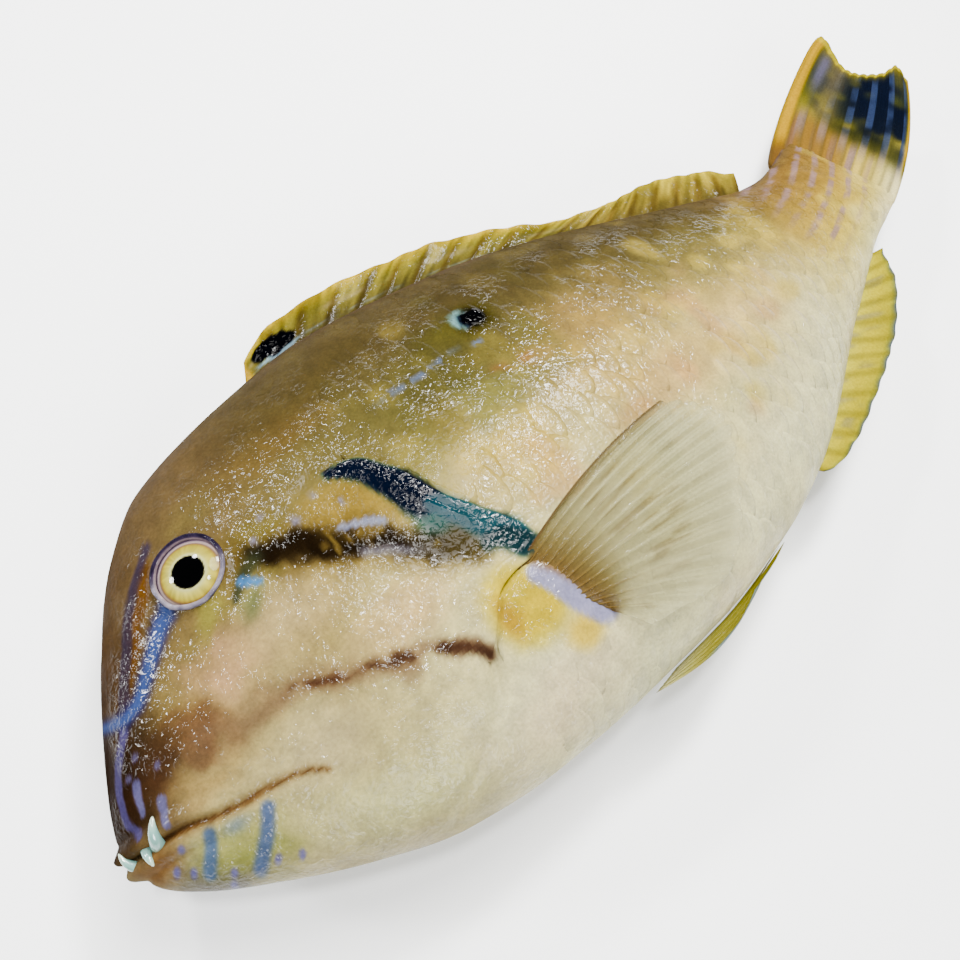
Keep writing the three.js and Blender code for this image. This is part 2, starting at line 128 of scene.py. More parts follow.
def skinNormal(x, y, step=0.5):  # outward on the left flank
    slopeX = (skinZ(x + step, y) - skinZ(x - step, y)) / (2 * step)
    slopeY = (skinZ(x, y + step) - skinZ(x, y - step)) / (2 * step)
    normal = np.stack([-slopeX, -slopeY, np.ones_like(slopeX)], -1)
    return normal / np.linalg.norm(normal, axis=-1, keepdims=True)


def taper(x):  # the tail stem thins to an edge under the tail fin
    return np.sqrt(np.clip((fish["length"] + 1 - x) / 24, 0.01, 1))


def posed(points):  # straight fish in mm to the bent fish on the ground, in metres
    x, y, z = np.moveaxis(np.asarray(points, float), -1, 0)
    past = np.clip(x - fish["bendStart"], 0, None)
    turn = past * fish["bendPerMm"]
    axisX = np.where(past > 0, fish["bendStart"] + np.sin(turn) / fish["bendPerMm"], x)
    axisY = (1 - np.cos(turn)) / fish["bendPerMm"]
    row = [
        axisX - y * np.sin(turn) - fish["originX"],
        axisY + y * np.cos(turn) - fish["originY"],
        z + fish["restHeight"],
    ]
    return np.stack(row, -1) * mm


# colours and materials
def linear(hexColor):  # sRGB hex to the renderer's linear colour
    rgb = [int(hexColor[i:i + 2], 16) / 255 for i in (1, 3, 5)]
    return [c / 12.92 if c <= 0.04045 else ((c + 0.055) / 1.055) ** 2.4 for c in rgb]


def toned(hexColor):  # sRGB values, in which markings are blended
    return np.array([int(hexColor[i:i + 2], 16) / 255 for i in (1, 3, 5)])


def addNode(material, kind, links=None, **settings):  # a node, its inputs by name or number
    node = material.node_tree.nodes.new(kind)
    for key, value in settings.items():
        setattr(node, key, value)
    for key, value in (links or {}).items():
        socket = node.inputs[key]
        if isinstance(value, bpy.types.NodeSocket):
            material.node_tree.links.new(value, socket)
        else:
            socket.default_value = value
    return node


# pigments are deeper than the tones they give under the bright lamps
pigment = {"power": (1.55, 1.55, 1.28), "strength": (0.53, 0.555, 0.405)}


def deepened(rgb):  # blended sRGB tones to the linear pigments of the surface
    lin = np.where(rgb <= 0.04045, rgb / 12.92, ((rgb + 0.055) / 1.055) ** 2.4)
    return np.array(pigment["strength"]) * np.clip(lin, 0, 1) ** np.array(pigment["power"])


def newMaterial(name):
    material = bpy.data.materials.new(name)
    material.use_nodes = True
    material.node_tree.nodes.clear()
    return material


def finishMaterial(material, shaderLinks):
    shader = addNode(material, "ShaderNodeBsdfPrincipled", shaderLinks)
    addNode(material, "ShaderNodeOutputMaterial", {"Surface": shader.outputs[0]})
    return material


# pieces: place(points) gives a piece's points, its tones and any further attributes of its points
def addPiece(name, bm, place, material):
    mesh = bpy.data.meshes.new(name)
    bm.to_mesh(mesh)
    bm.free()
    flat = np.empty(len(mesh.vertices) * 3, np.float32)
    mesh.vertices.foreach_get("co", flat)
    points, tones, extra = place(flat.reshape(-1, 3).astype(float))
    mesh.vertices.foreach_set("co", np.ascontiguousarray(points, np.float32).ravel())
    tint = mesh.color_attributes.new("tint", "FLOAT_COLOR", "POINT")
    rgba = np.concatenate([deepened(tones), np.ones((len(tones), 1))], 1)
    tint.data.foreach_set("color", rgba.astype(np.float32).ravel())
    for key, values in {"slime": np.ones(len(tones)), **extra}.items():
        mesh.attributes.new(key, "FLOAT", "POINT").data.foreach_set("value", values.astype(np.float32))
    mesh.polygons.foreach_set("use_smooth", [True] * len(mesh.polygons))
    mesh.update()
    turnOut(mesh)
    piece = bpy.data.objects.new(name, mesh)
    scene.collection.objects.link(piece)
    mesh.materials.append(material)
    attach(piece, "root")
    return piece


def turnOut(mesh):  # faces of a closed mesh outwards
    bm = bmesh.new()
    bm.from_mesh(mesh)
    bmesh.ops.recalc_face_normals(bm, faces=bm.faces)
    bm.to_mesh(mesh)
    bm.free()


# where things lie on the straight fish
head = {
    "eye": (55.1, 29.9),
    "eyeRadius": 10.6,
    "eyeDepth": 4.9,  # half thickness of the eyeball
    "eyeSink": 2.3,
    "nostrils": [(44.6, 30.4, 1.0), (39.4, 26.6, 0.8)],
    "mouth": [
        (-6, -14.6), (2, -15.6), (8, -17), (17, -18.9), (24, -22), (31.5, -24.5), (39.5, -26.5), (47, -29.5),
    ],
    "mouthCorner": 46.0,
    "cover": [
        (86, 26), (103, 28), (112, 16), (116.5, 1), (124, -13), (128.5, -25), (113, -27), (103, -35),
        (98, -41),
        (90, -51), (78, -45), (70, -29), (67, -10), (71, 8), (78, 19),
    ],
    "coverRise": 0.9,
    "coverStep": 1.4,  # depth of the groove behind the free edge
}


def smoothed(points, closed=False, steps=8):  # a rounder polyline through the points
    p = np.array(points, float)
    p = np.vstack([p[-1:], p, p[:2]]) if closed else np.vstack([2 * p[0] - p[1], p, 2 * p[-1] - p[-2]])
    t = np.linspace(0, 1, steps, endpoint=False)[:, None]
    parts = []
    for a, b, c, d in zip(p, p[1:], p[2:], p[3:]):
        square, cube = 2 * a - 5 * b + 4 * c - d, 3 * b - a - 3 * c + d
        parts.append(0.5 * (2 * b + (c - a) * t + square * t**2 + cube * t**3))
    line = np.vstack(parts)
    return line if closed else np.vstack([line, p[-2:-1]])


def awayFrom(p, line, reach=1e9):  # distance to a polyline, place along it (0..1) and side
    p = np.asarray(p, float)
    best = np.full(len(p), float(reach))
    along = np.zeros(len(p))
    side = np.zeros(len(p))
    low, high = line.min(0) - reach, line.max(0) + reach
    near = np.flatnonzero(np.all((p > low) & (p < high), 1))
    q = p[near]
    lengths = np.linalg.norm(np.diff(line, axis=0), axis=1)
    total, done = lengths.sum(), 0.0
    for a, b, length in zip(line, line[1:], lengths):
        if length < 1e-9:
            continue
        t = np.clip((q - a) @ (b - a) / length**2, 0, 1)
        offset = q - a - t[:, None] * (b - a)
        distance = np.hypot(*offset.T)
        closer = distance < best[near]
        hit = near[closer]
        best[hit] = distance[closer]
        along[hit] = (done + t[closer] * length) / total
        side[hit] = np.sign((b - a)[0] * offset[closer, 1] - (b - a)[1] * offset[closer, 0])
        done += length
    return best, along, side


def insideOf(p, outlinePoints):  # signed distance to a closed outline, positive inside
    line = np.vstack([outlinePoints, outlinePoints[:1]])
    distance = awayFrom(p, line)[0]
    x, y = p.T
    crossings = np.zeros(len(p), int)
    for (x0, y0), (x1, y1) in zip(line, line[1:]):
        if y0 != y1:
            crossings += ((y0 > y) != (y1 > y)) & (x < (x1 - x0) * (y - y0) / (y1 - y0) + x0)
    return np.where(crossings % 2 == 1, distance, -distance)


coverLine = smoothed(head["cover"], closed=True)
mouthPath = smoothed(head["mouth"])

# markings, the same on skin, scales and gill membranes
grainCells = 48
grain = np.random.default_rng(4).random((grainCells,) * 3)


def lumps(points, size, seed=0.0, stretch=(1, 1, 1)):  # smooth noise from -1 to 1
    q = np.asarray(points, float) / (size * np.array(stretch)) + seed * 7.31 + 200
    cell = np.floor(q).astype(int)
    f = q - cell
    f = f * f * (3 - 2 * f)
    total = 0.0
    for i in (0, 1):
        for j in (0, 1):
            for k in (0, 1):
                weight = (f[:, 0] if i else 1 - f[:, 0]) * (f[:, 1] if j else 1 - f[:, 1])
                weight = weight * (f[:, 2] if k else 1 - f[:, 2])
                at = (cell + (i, j, k)) % grainCells
                total = total + weight * grain[at[:, 0], at[:, 1], at[:, 2]]
    return 2 * total - 1


skinTones = {  # from the belly to the back, for the head, the trunk and the tail stem
    "head": ["#bdb28e", "#c6bc8e", "#b9aa78", "#a29058", "#877648", "#7c6a44", "#766446"],
    "trunk": ["#dcd6b8", "#ddd5b4", "#d2c698", "#b8a766", "#8a7f48", "#6a5e34", "#6e6240"],
    "tail": ["#e4dcb8", "#d6c884", "#c9b350", "#b69c42", "#a58b40", "#93793c", "#7c6a46"],
    "heights": [0.0, 0.17, 0.34, 0.52, 0.68, 0.86, 1.0],
}


def mixed(rgb, color, weight):
    return rgb + (toned(color) - rgb) * np.clip(weight, 0, 1)[:, None]


def spot(rgb, p, centre, size, color, strength=1.0, turn=0.0, soft=1.0):
    d = p - np.array(centre, float)
    near = np.flatnonzero(np.abs(d).max(1) < max(size))
    d = d[near]
    c, s = math.cos(turn), math.sin(turn)
    r = np.hypot((d[:, 0] * c + d[:, 1] * s) / size[0], (d[:, 1] * c - d[:, 0] * s) / size[1])
    rgb[near] = mixed(rgb[near], color, strength * ease((1 - r) / soft))
    return rgb


def stroke(rgb, p, points, width, color, strength=1.0, soft=0.5, broken=None):
    line = smoothed(points, steps=6)
    start, end = width if isinstance(width, tuple) else (width, width)
    distance, along, _ = awayFrom(p, line, 0.7 * max(start, end))
    half = 0.68 * blend(start, end, along)
    weight = strength * ease((1 - distance / half) / soft + 0.001)
    if broken is not None:
        weight = weight * broken(along)
    return mixed(rgb, color, weight)


def spots(rgb, p, rows):  # rows of centre, size, colour, strength, turn and softness
    for row in rows:
        rgb = spot(rgb, p, *row)
    return rgb


def strokes(rgb, p, rows):  # rows of points, width at both ends, colour, strength and softness
    for row in rows:
        rgb = stroke(rgb, p, *row)
    return rgb


def slimeOn(points):  # the coat of slime thins towards the ridge of the back and on the lips
    x, y = points[:, 0], points[:, 1]
    h = (y - belly(x)) / (back(x) - belly(x))
    wet = blend(1.0, 0.07, ease((h - 0.76) / 0.16)) * blend(0.25, 1.0, ease((x - 3) / 13))
    return wet * (1 - 0.6 * ease(1.6 - np.hypot((x - 103) / 22, (y - 13) / 12)))


def placesOf(points):  # the points' place on the flank, with edges torn loosely or crisply
    x, y = points[:, 0], points[:, 1]
    xy = points[:, :2]
    wobble = np.stack([lumps(points, 7, 1), lumps(points, 7, 2)], 1)
    fine = np.stack([lumps(points, 2.2, 3), lumps(points, 2.2, 4)], 1)
    h = np.clip((y - belly(x)) / (back(x) - belly(x)), 0, 1)
    return {
        "points": points, "x": x, "y": y, "wobble": wobble,
        "soft": xy + 1.1 * wobble + 0.45 * fine,
        "loose": xy + 3.2 * wobble + 1.2 * fine,
        "crisp": xy + 0.35 * wobble + 0.2 * fine,
        "height": np.clip(h + 0.035 * lumps(points, 16, 5) + 0.02 * lumps(points, 5, 6), 0, 1),
    }


def groundTones(at):
    tones = {}
    for region in ("head", "trunk", "tail"):
        stops = np.array([toned(c) for c in skinTones[region]])
        tones[region] = np.stack([np.interp(at["height"], skinTones["heights"], row) for row in stops.T], 1)
    rgb = tones["trunk"] + (tones["tail"] - tones["trunk"]) * ease((at["x"] - 262) / 50)[:, None]
    return rgb + (tones["head"] - rgb) * ease((105 - at["x"]) / 45)[:, None]


flankPatches = [
    ((192, 18), (50, 26), "#b08a58", 0.35),
    ((146, 30), (50, 26), "#615c2e", 0.75, 0.1),
    ((190, 50), (66, 22), "#5c5230", 0.55),
    ((152, 14), (28, 14), "#8b8748", 0.7),
    ((196, -12), (36, 20), "#d3ab6c", 0.45, -0.35),
    ((143, -6), (24, 16), "#c9ad4e", 0.6),
    ((236, -12), (40, 22), "#d8bb86", 0.45),
    ((168, 20), (5, 4), "#a9743e", 0.5),
    ((159, 21), (5, 3.5), "#a9743e", 0.4),
]


def paintFlank(rgb, at):  # mottled olive, gold and a fleshy orange, each about a scale across
    points, x, h = at["points"], at["x"], at["height"]
    onFlank = ease((x - 95) / 40) * ease((h - 0.12) / 0.2) * ease((1 - h) / 0.2)
    olive = ease(lumps(points, 15, 7) * 1.5 - 0.1) * ease((235 - x) / 60)
    rgb = mixed(rgb, "#7d7c3a", 0.5 * onFlank * olive)
    flesh = 0.5 * onFlank * ease((285 - x) / 50) * ease(lumps(points, 11, 8) * 1.8 - 0.25)
    rgb = mixed(rgb, "#cda672", flesh * ease((0.74 - h) / 0.25))
    rgb = mixed(rgb, "#c9b558", 0.55 * onFlank * ease(lumps(points, 9, 9) * 1.6 - 0.1))
    cream = ease(lumps(points, 13, 10) * 1.7 - 0.2)
    rgb = mixed(rgb, "#e2d6b0", 0.45 * onFlank * cream * ease((0.62 - h) / 0.3))
    return spots(rgb, at["loose"], flankPatches)


def paintBelly(rgb, at):
    low = ease((0.3 - at["height"]) / 0.3)
    pink = ease(lumps(at["points"], 22, 11) + 0.2) * ease((at["x"] - 60) / 60)
    rgb = mixed(rgb, "#e0cfae", 0.5 * low * pink)
    return spots(rgb, at["loose"], [
        ((108, -62), (34, 16), "#e2cfb4", 0.6),
        ((62, -52), (30, 12), "#cfcc9c", 0.6, -0.4),
    ])


headPatches = [
    ((6, 2), (30, 30), "#453319", 0.95, 0.0, 0.8),  # snout, forehead and nape
    ((22, 24), (22, 14), "#604a28", 0.8, 0.95),
    ((36, 44), (24, 9), "#6d5937", 0.7, 0.8),
    ((60, 56), (30, 12), "#7a6a44", 0.5, 0.4),
    ((64, 44), (18, 9), "#8d8048", 0.6, 0.3),
    ((94, 46), (30, 12), "#87713a", 0.6, 0.1),
    ((97, 13), (22, 17), "#a08a3c", 0.9, 0.0, 0.8),
    ((76, 25), (16, 10), "#857a34", 0.85),
    ((66, 2), (24, 15), "#c4b184", 0.85),  # cheek
    ((47, 3), (16, 12), "#c9a684", 0.7),
    ((90, -18), (24, 13), "#cdb381", 0.8),
    ((63, 12), (8, 7), "#a8a468", 0.7),
    ((52, 16), (15, 7), "#a39e48", 0.7, 0.6),
    ((69, 20), (9, 8), "#6f7038", 0.7),
    ((33, -4), (13, 8), "#745028", 0.85, -0.25),
    ((20, -6), (13, 12), "#5f4729", 0.85),
    ((32, -8), (6, 5), "#7a5a36", 0.7),
    ((39, -12), (6, 5), "#8f744c", 0.6),
    ((14, -34), (18, 10), "#655d52", 0.9, -0.7),  # chin and jaw
    ((29, -15), (18, 6), "#b19a62", 0.7, -0.2),
    ((52, -28), (24, 13), "#c2b48e", 0.85, -0.2),
    ((25, -34), (22, 12), "#a3a35a", 0.9, -0.45),
    ((8, -22), (10, 7), "#8a6a3a", 0.85, -0.5),
]
darkStreak = [(66, 23), (72, 20.5), (80, 15), (88, 9), (96, 2), (105, -6), (112, -13)]
cheekFold = [
    (98, -38), (91, -31), (84, -27.5), (76, -22.5), (68, -17.5), (58, -13), (48, -9.5), (40, -8.5), (31, -5),
]


def paintHead(rgb, at):  # patches, then the streaks behind the eye and along the gill cover
    points, soft, loose = at["points"], at["soft"], at["loose"]
    rgb = spots(rgb, loose, headPatches)
    torn = ease(1.55 + 1.2 * lumps(points, 3.2, 12, (2.2, 1, 1)) + 1.2 * lumps(points, 1.1, 17, (1, 3.5, 1)))
    worn = ease(0.7 + 1.8 * lumps(points, 4, 18))
    rgb = stroke(rgb, loose, darkStreak, (14, 18), "#756430", 0.75, 1.0)
    rgb = stroke(rgb, loose, darkStreak, (7, 10), "#332811", 0.95, 0.9, lambda along: torn * ease(along * 12))
    rgb = stroke(rgb, soft, [(60, 15), (64, 18), (70, 21)], (3, 5), "#4b5032", 0.75, 0.9)
    rgb = spot(rgb, soft, (62.5, 10.5), (8, 4), "#66704a", 0.5, 0.8)
    rgb = stroke(rgb, loose, cheekFold, (5, 13), "#8d7654", 0.75, 1.0)
    rear = [(98.5, -39), (95, -34), (89, -29.5), (82, -25), (76, -22)]
    front = [(74, -21), (68, -18), (61, -14.5), (54, -12)]
    rgb = stroke(rgb, soft, rear, (5, 3.5), "#5a4228", 0.9, 0.8, lambda along: worn)
    return stroke(rgb, soft, front, (3, 3), "#5c4024", 0.8, 0.9, lambda along: worn)


blueBand = [(45, 25.6), (41.6, 23.6), (37, 20), (32, 16.2), (27, 12.8), (21.6, 11.8), (17, 14.2), (13, 17)]
gapeLine = [(9, -17.4), (17, -19.2), (24, -22.2), (31.5, -24.7), (39.5, -26.7), (46.5, -29.2), (51, -32.6)]
faceLines = [
    ([(51, 45), (45, 40.5), (39, 35), (33, 28), (26, 19), (20, 10)], (2.6, 3.4), "#4c4458", 0.7),
    (blueBand, (7.0, 4.6), "#4a4666", 0.85, 0.7),
    (blueBand, (4.8, 2.2), "#5c6e9c", 0.92, 0.8),
    ([(19, 9), (14, 4.8), (9.6, -1), (7.4, -7.8), (8.4, -13)], (2.6, 1.8), "#6d6690", 0.85),
    ([(14.2, -3), (12.6, -6.5), (11.4, -9.4)], (2.4, 1.6), "#7f7ca6", 0.85),
    ([(17, -10.6), (15.6, -13), (15.2, -16)], (2.6, 1.6), "#7f7ca6", 0.85),
]
snoutDots = [(17.8, 2.2), (13.6, -0.4), (21, -3.6)]
chinBars = [
    ([(21.4, -24.4), (18.6, -27.8), (15.2, -31)], (3.6, 3.6), "#63779a", 0.85, 0.7),
    ([(35, -29.4), (31, -33.6), (24.6, -38.6)], (3.8, 4.2), "#66769e", 0.85, 0.7),
]
chinDots = [(13.9, -22.5), (9.5, -25.5), (12.5, -28.4), (19.3, -34.8), (17.1, -36.8), (29, -40), (34, -43)]


def paintFace(rgb, at):  # blue and purple lines and dots on the snout, the lips and the chin
    soft, crisp = at["soft"], at["crisp"]
    rgb = stroke(rgb, soft, [(47, 39), (39, 31), (31, 23), (24, 15)], (6, 5), "#7a581c", 0.8, 0.8)
    rgb = strokes(rgb, crisp, faceLines)
    rgb = spots(rgb, crisp, [(place, (1.5, 1.1), "#7a7496", 0.8, 0.0, 0.6) for place in snoutDots])
    rgb = strokes(rgb, crisp, chinBars)
    rgb = spot(rgb, soft, (27, -27), (5.5, 3.4), "#8b97a0", 0.75)
    rgb = spots(rgb, crisp, [(place, (2.0, 1.3), "#7c78b4", 0.8, 0.8, 0.7) for place in chinDots])
    # a brown band over the lips, then a thin dark line down the gape itself: painted shade in the slit
    # between the lips
    rgb = stroke(rgb, crisp, gapeLine, (5, 2.6), "#8f7440", 0.6, 1.0)
    return stroke(rgb, crisp, gapeLine, (1.6, 1.0), "#6a4c22", 0.7, 0.7)


coverDots = [
    ((84, 20.8), 2.1), ((91.9, 24.1), 1.7), ((96.3, 17.3), 1.5), ((72.8, 24.7), 1.6), ((78, 29), 1.3),
]
tealBar = [(99, 26.5), (103.5, 24), (107.5, 19), (110.5, 12), (112.5, 4), (112.5, -2)]


def paintCover(rgb, at):  # dots and dashes over the gill cover and the dark teal bar down its edge
    soft, crisp = at["soft"], at["crisp"]
    rgb = spots(rgb, soft, [(place, (size, size), "#938da2", 0.85, 0.0, 0.7) for place, size in coverDots])
    rgb = strokes(rgb, crisp, [
        ([(101, 5.5), (97, 8.6), (91, 11.6)], (2.4, 1.6), "#9c9fbe", 0.85),
        ([(63.4, 18), (65.2, 16), (67, 14.2)], (2.6, 2), "#5f8fc4", 0.9, 0.6),
    ])
    rgb = stroke(rgb, soft, [(105, -8), (98, -3), (92, 2)], (3, 4), "#a9a9c4", 0.5, 0.9)
    rgb = spot(rgb, at["loose"], (112, -11), (17, 10), "#665c2e", 0.9, -0.9)
    return strokes(rgb, soft, [
        (tealBar, (5, 12), "#3b6a60", 0.85, 0.55),
        (tealBar[:-1], (4, 10), "#18242f", 0.97, 0.4),
        ([(114, 0), (118, -8), (122, -15), (125, -21)], (7, 9), "#2f5e60", 0.95, 0.5),
        ([(118, -17), (122, -20), (127, -25)], (5, 8), "#29443e", 0.85, 0.6),
    ])


def paintFinRoot(rgb, at):  # gold and lilac round the root of the pectoral fin
    rgb = spots(rgb, at["soft"], [
        ((115, -36), (15, 14), "#cdb81c", 1.0, -0.9, 0.6),
        ((109, -36), (5, 9), "#b3922a", 0.7, 0.0, 0.9),
        ((124, -51), (9, 7), "#d9c04a", 0.9, 0.0, 0.7),
    ])
    lilacBar = [(122.6, -32), (124.6, -36), (127, -42.2), (131.4, -50)]
    rgb = stroke(rgb, at["crisp"], lilacBar, (6, 8.5), "#a9a5c6", 0.97, 0.35)
    return stroke(rgb, at["soft"], [(124.5, -28), (129.5, -37), (136, -47)], (4, 6), "#8f7038", 0.7, 0.9)


dashes = {
    "line": [(122.5, 36.4), (130.7, 35.8), (138.7, 34.8), (147.6, 35.2), (157, 34.6), (163, 32.4)],
    "count": 5.5,
}


def dashed(along):
    return ease(1.6 * np.sin(along * 2 * np.pi * dashes["count"]) + 1.5)


def paintBackSpot(rgb, at):  # the black spot on the back and the line of dashes under it
    rgb = spot(rgb, at["loose"], (160, 43), (26, 12), "#6c662a", 0.8)
    rgb = spot(rgb, at["soft"], (167.4, 42.2), (9.5, 8.4), "#564e12", 0.8, 0.0, 0.6)
    rgb = spots(rgb, at["crisp"], [
        ((165.3, 43.6), (5.0, 5.2), "#8fb0b8", 0.9, 0.0, 0.35),
        ((167.8, 42.4), (5.4, 5.0), "#07080a", 1.0, 0.0, 0.4),
    ])
    return stroke(rgb, at["crisp"], dashes["line"], (1.5, 1.6), "#7c86a0", 0.9, 1.0, dashed)


def paintStem(rgb, at):  # lilac stripes on the gold of the tail stem
    x, h = at["x"], at["height"]
    across = at["y"] - middle(x) - 0.12 * (x - 300)
    stripes = ease((np.cos(across * 2 * np.pi / 7.4 + 0.6 + 0.4 * at["wobble"][:, 0]) - 0.25) / 0.5)
    stripes = stripes * ease((x - 284) / 20) * ease((h - 0.2) / 0.15) * ease(0.8 + lumps(at["points"], 4, 14))
    return mixed(rgb, "#a78f9c", 0.7 * stripes)


def paint(points):
    at = placesOf(points)
    rgb = groundTones(at)
    for layer in (
        paintFlank, paintBelly, paintHead, paintFace, paintCover, paintFinRoot, paintBackSpot,
        paintStem,
    ):
        rgb = layer(rgb, at)
    # along the foot of the dorsal fin and the fine grain of the skin
    rgb = mixed(rgb, "#6f6048", 0.6 * ease((at["height"] - 0.955) / 0.03) * ease((at["x"] - 100) / 20))
    rgb = rgb * (1 + 0.05 * lumps(points, 3.5, 15) + 0.035 * lumps(points, 1.3, 16))[:, None]
    return np.clip(rgb, 0, 1)


throatFold = smoothed([(98, -41), (90, -51), (78, -58), (66, -64)])
cheekRidge = smoothed([(80, 20), (72, 6), (70, -10), (67, -26), (58, -38)])


def nearTo(p, line, reach, width):  # 1 on a line, fading over a width
    return np.exp(-(awayFrom(p, line, reach)[0] / width) ** 2)


def coverRelief(p):
    inside = insideOf(p, coverLine)
    free = ease((p[:, 0] - 82) / 16)  # the rear edge is free, the front one grows out of the cheek
    step = head["coverRise"] * ease(inside / blend(14, 2.2, free) + 0.15)
    groove = head["coverStep"] * free * np.exp(-((inside + 1.0) / 1.15) ** 2)
    return step - groove - 0.7 * nearTo(p, throatFold, 6, 1.0) - 0.35 * nearTo(p, cheekRidge, 8, 1.5)


def mouthRelief(p):
    distance = awayFrom(p, mouthPath, 12)[0]
    toCorner = np.clip((p[:, 0] + 2) / (head["mouthCorner"] + 2), 0, 1.2)
    parted = ease((1.03 - toCorner) / 0.1)
    lip = blend(1.7, 0.35, ease(toCorner)) * np.exp(-((distance - 2.4) / 1.9) ** 2) * parted
    slit = blend(2.4, 0.4, ease(toCorner * 1.3)) * np.exp(-(distance / 0.75) ** 2) * parted
    lipEdge = 0.45 * np.exp(-((distance - 5.6) / 0.8) ** 2) * ease((0.7 - toCorner) / 0.4)
    return lip - slit - lipEdge


def eyeRelief(p):  # the socket, its rim and the nostrils in front of it
    ring = np.hypot(p[:, 0] - head["eye"][0], p[:, 1] - head["eye"][1])
    socket = 5.0 * ease((9.6 - ring) / 1.3)
    rim = 0.95 * np.exp(-((ring - 10.1) / 1.0) ** 2) - 0.3 * np.exp(-((ring - 12.6) / 1.0) ** 2)
    pits = np.zeros(len(p))
    for x, y, radius in head["nostrils"]:
        r = np.hypot(p[:, 0] - x, p[:, 1] - y)
        pits += 0.5 * np.exp(-((r - radius - 0.6) / 0.5) ** 2) - 1.3 * ease((radius - r) / 0.6 + 0.3)
    return rim - socket + pits


def sculpt(points, normals):  # folds of the head, added to the plain skin
    x = points[:, 0]
    rise = np.zeros(len(x))
    front = x < 150
    p = points[front, :2]
    finRoot = 1.3 * ease(1.2 - np.hypot((p[:, 0] - 121) / 9, (p[:, 1] + 38) / 14))
    rise[front] = coverRelief(p) + mouthRelief(p) + eyeRelief(p) + finRoot
    rise += 0.22 * lumps(points, 19, 21) * ease((150 - x) / 60) + 0.1 * lumps(points, 8, 22)
    return points + normals * rise[:, None]


skinGrid = {"around": 250, "rings": 392, "crowded": 1.3, "pinch": 0.225}  # closer rings at the head


def skinPlace(unit):  # a unit ball to the skin, its poles at the snout and the tail
    ring = np.clip(np.arccos(np.clip(unit[:, 2], -1, 1)) / np.pi, 0, 1)
    around = np.arctan2(unit[:, 1], unit[:, 0])
    x = fish["length"] * ring ** skinGrid["crowded"]
    points = skinAt(x, around - skinGrid["pinch"] * np.sin(2 * around), -fish["scaleDepth"])
    points[:, 2] *= taper(x)
    pole = (ring < 1e-6) | (ring > 1 - 1e-6)
    points[pole, 1] = middle(x[pole])
    points[pole, 2] = 0
    normals = skinNormal(x, points[:, 1])
    normals[:, 2] *= np.sign(points[:, 2] + 1e-9)
    blunt = 0.6 * ease((12 - x) / 12)[:, None]
    normals = normals * (1 - blunt) + np.array([-1.0, 0, 0]) * blunt
    tone, slime = paint(points), slimeOn(points)
    points = sculpt(points, normals)
    points[:, 2] = np.maximum(points[:, 2], -fish["restHeight"] + 0.05)
    return posed(points), tone, {"slime": slime}


# sizes in mm of the fine grain, of the folds and of the patches in which slime has gathered
wet = {"roughness": 0.42, "grain": 0.9, "folds": 2.3, "patches": 15, "slimeRise": 0.9, "foldRise": 0.3}


# wet skin: the markings in the attribute, broken up by a fine grain, under a clear coat of slime
def wetMaterial(name, coat=0.46, bump=0.7, seeThrough=False, glow=0.05):
    material = newMaterial(name)
    place = addNode(material, "ShaderNodeTexCoord").outputs["Object"]

    def attribute(key):
        return addNode(material, "ShaderNodeAttribute", attribute_name=key).outputs

    def noise(size, **settings):
        links = {"Vector": place, "Scale": 1 / (size * mm), **settings}
        return addNode(material, "ShaderNodeTexNoise", links).outputs["Fac"]

    def mapped(value, low, high, toLow, toHigh):
        links = {"Value": value, "From Min": low, "From Max": high, "To Min": toLow, "To Max": toHigh}
        return addNode(material, "ShaderNodeMapRange", links).outputs[0]

    def times(a, b):
        return addNode(material, "ShaderNodeMath", {0: a, 1: b}, operation="MULTIPLY").outputs[0]

    def bumped(height, strength, rise):
        links = {"Height": height, "Strength": strength, "Distance": rise * mm}
        return addNode(material, "ShaderNodeBump", links).outputs[0]

    shade = mapped(noise(wet["grain"], Detail=3.0), 0.3, 0.7, 0.84, 1.12)
    color = addNode(
        material, "ShaderNodeMix", {0: 1.0, 6: attribute("tint")["Color"], 7: shade},
        data_type="RGBA", blend_type="MULTIPLY",
    )
    folds = noise(wet["folds"], Detail=1.3, Roughness=0.4, Distortion=1.4)
    gathered = mapped(noise(wet["patches"], Detail=2.0), 0.4, 0.56, 0.3, 1.0)
    links = {
        "Base Color": color.outputs[2],
        "Roughness": wet["roughness"],
        "Normal": bumped(folds, 0.25, wet["foldRise"]),
        "Coat Normal": bumped(times(folds, gathered), bump, wet["slimeRise"]),
        "Coat Weight": times(times(attribute("slime")["Fac"], gathered), coat),
        "Coat Roughness": 0.07,
        "Coat IOR": 1.4,
        "Specular IOR Level": 0.0,
        "Subsurface Weight": glow,
        "Subsurface Radius": (1.0, 0.55, 0.3),
        "Subsurface Scale": 1.5 * mm,
    }
    if seeThrough:
        links["Alpha"] = attribute("cover")["Fac"]
    return finishMaterial(material, links)


wetSkin = wetMaterial("wet scaleless skin")  # glints in patches, on tones that stay deep
wetScales = wetMaterial("wet scales")  # as the skin, on the plates

print("skin")
bm = bmesh.new()
bmesh.ops.create_uvsphere(bm, u_segments=skinGrid["around"], v_segments=skinGrid["rings"], radius=1)
skin = addPiece("skin", bm, skinPlace, wetSkin)
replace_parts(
    skin, "head", "upper_jaw", "lower_jaw", "gill_cover_left", "gill_cover_right",
    "trunk", "hind_trunk", "tail_stem",
)

# thin slabs: u runs along the root and v out to the edge, on both sides of a middle sheet
def slab(columns, rows):
    bm = bmesh.new()
    bmesh.ops.create_grid(bm, x_segments=columns, y_segments=rows, size=0.5)
    bmesh.ops.solidify(bm, geom=bm.faces[:], thickness=0.1)
    return bm


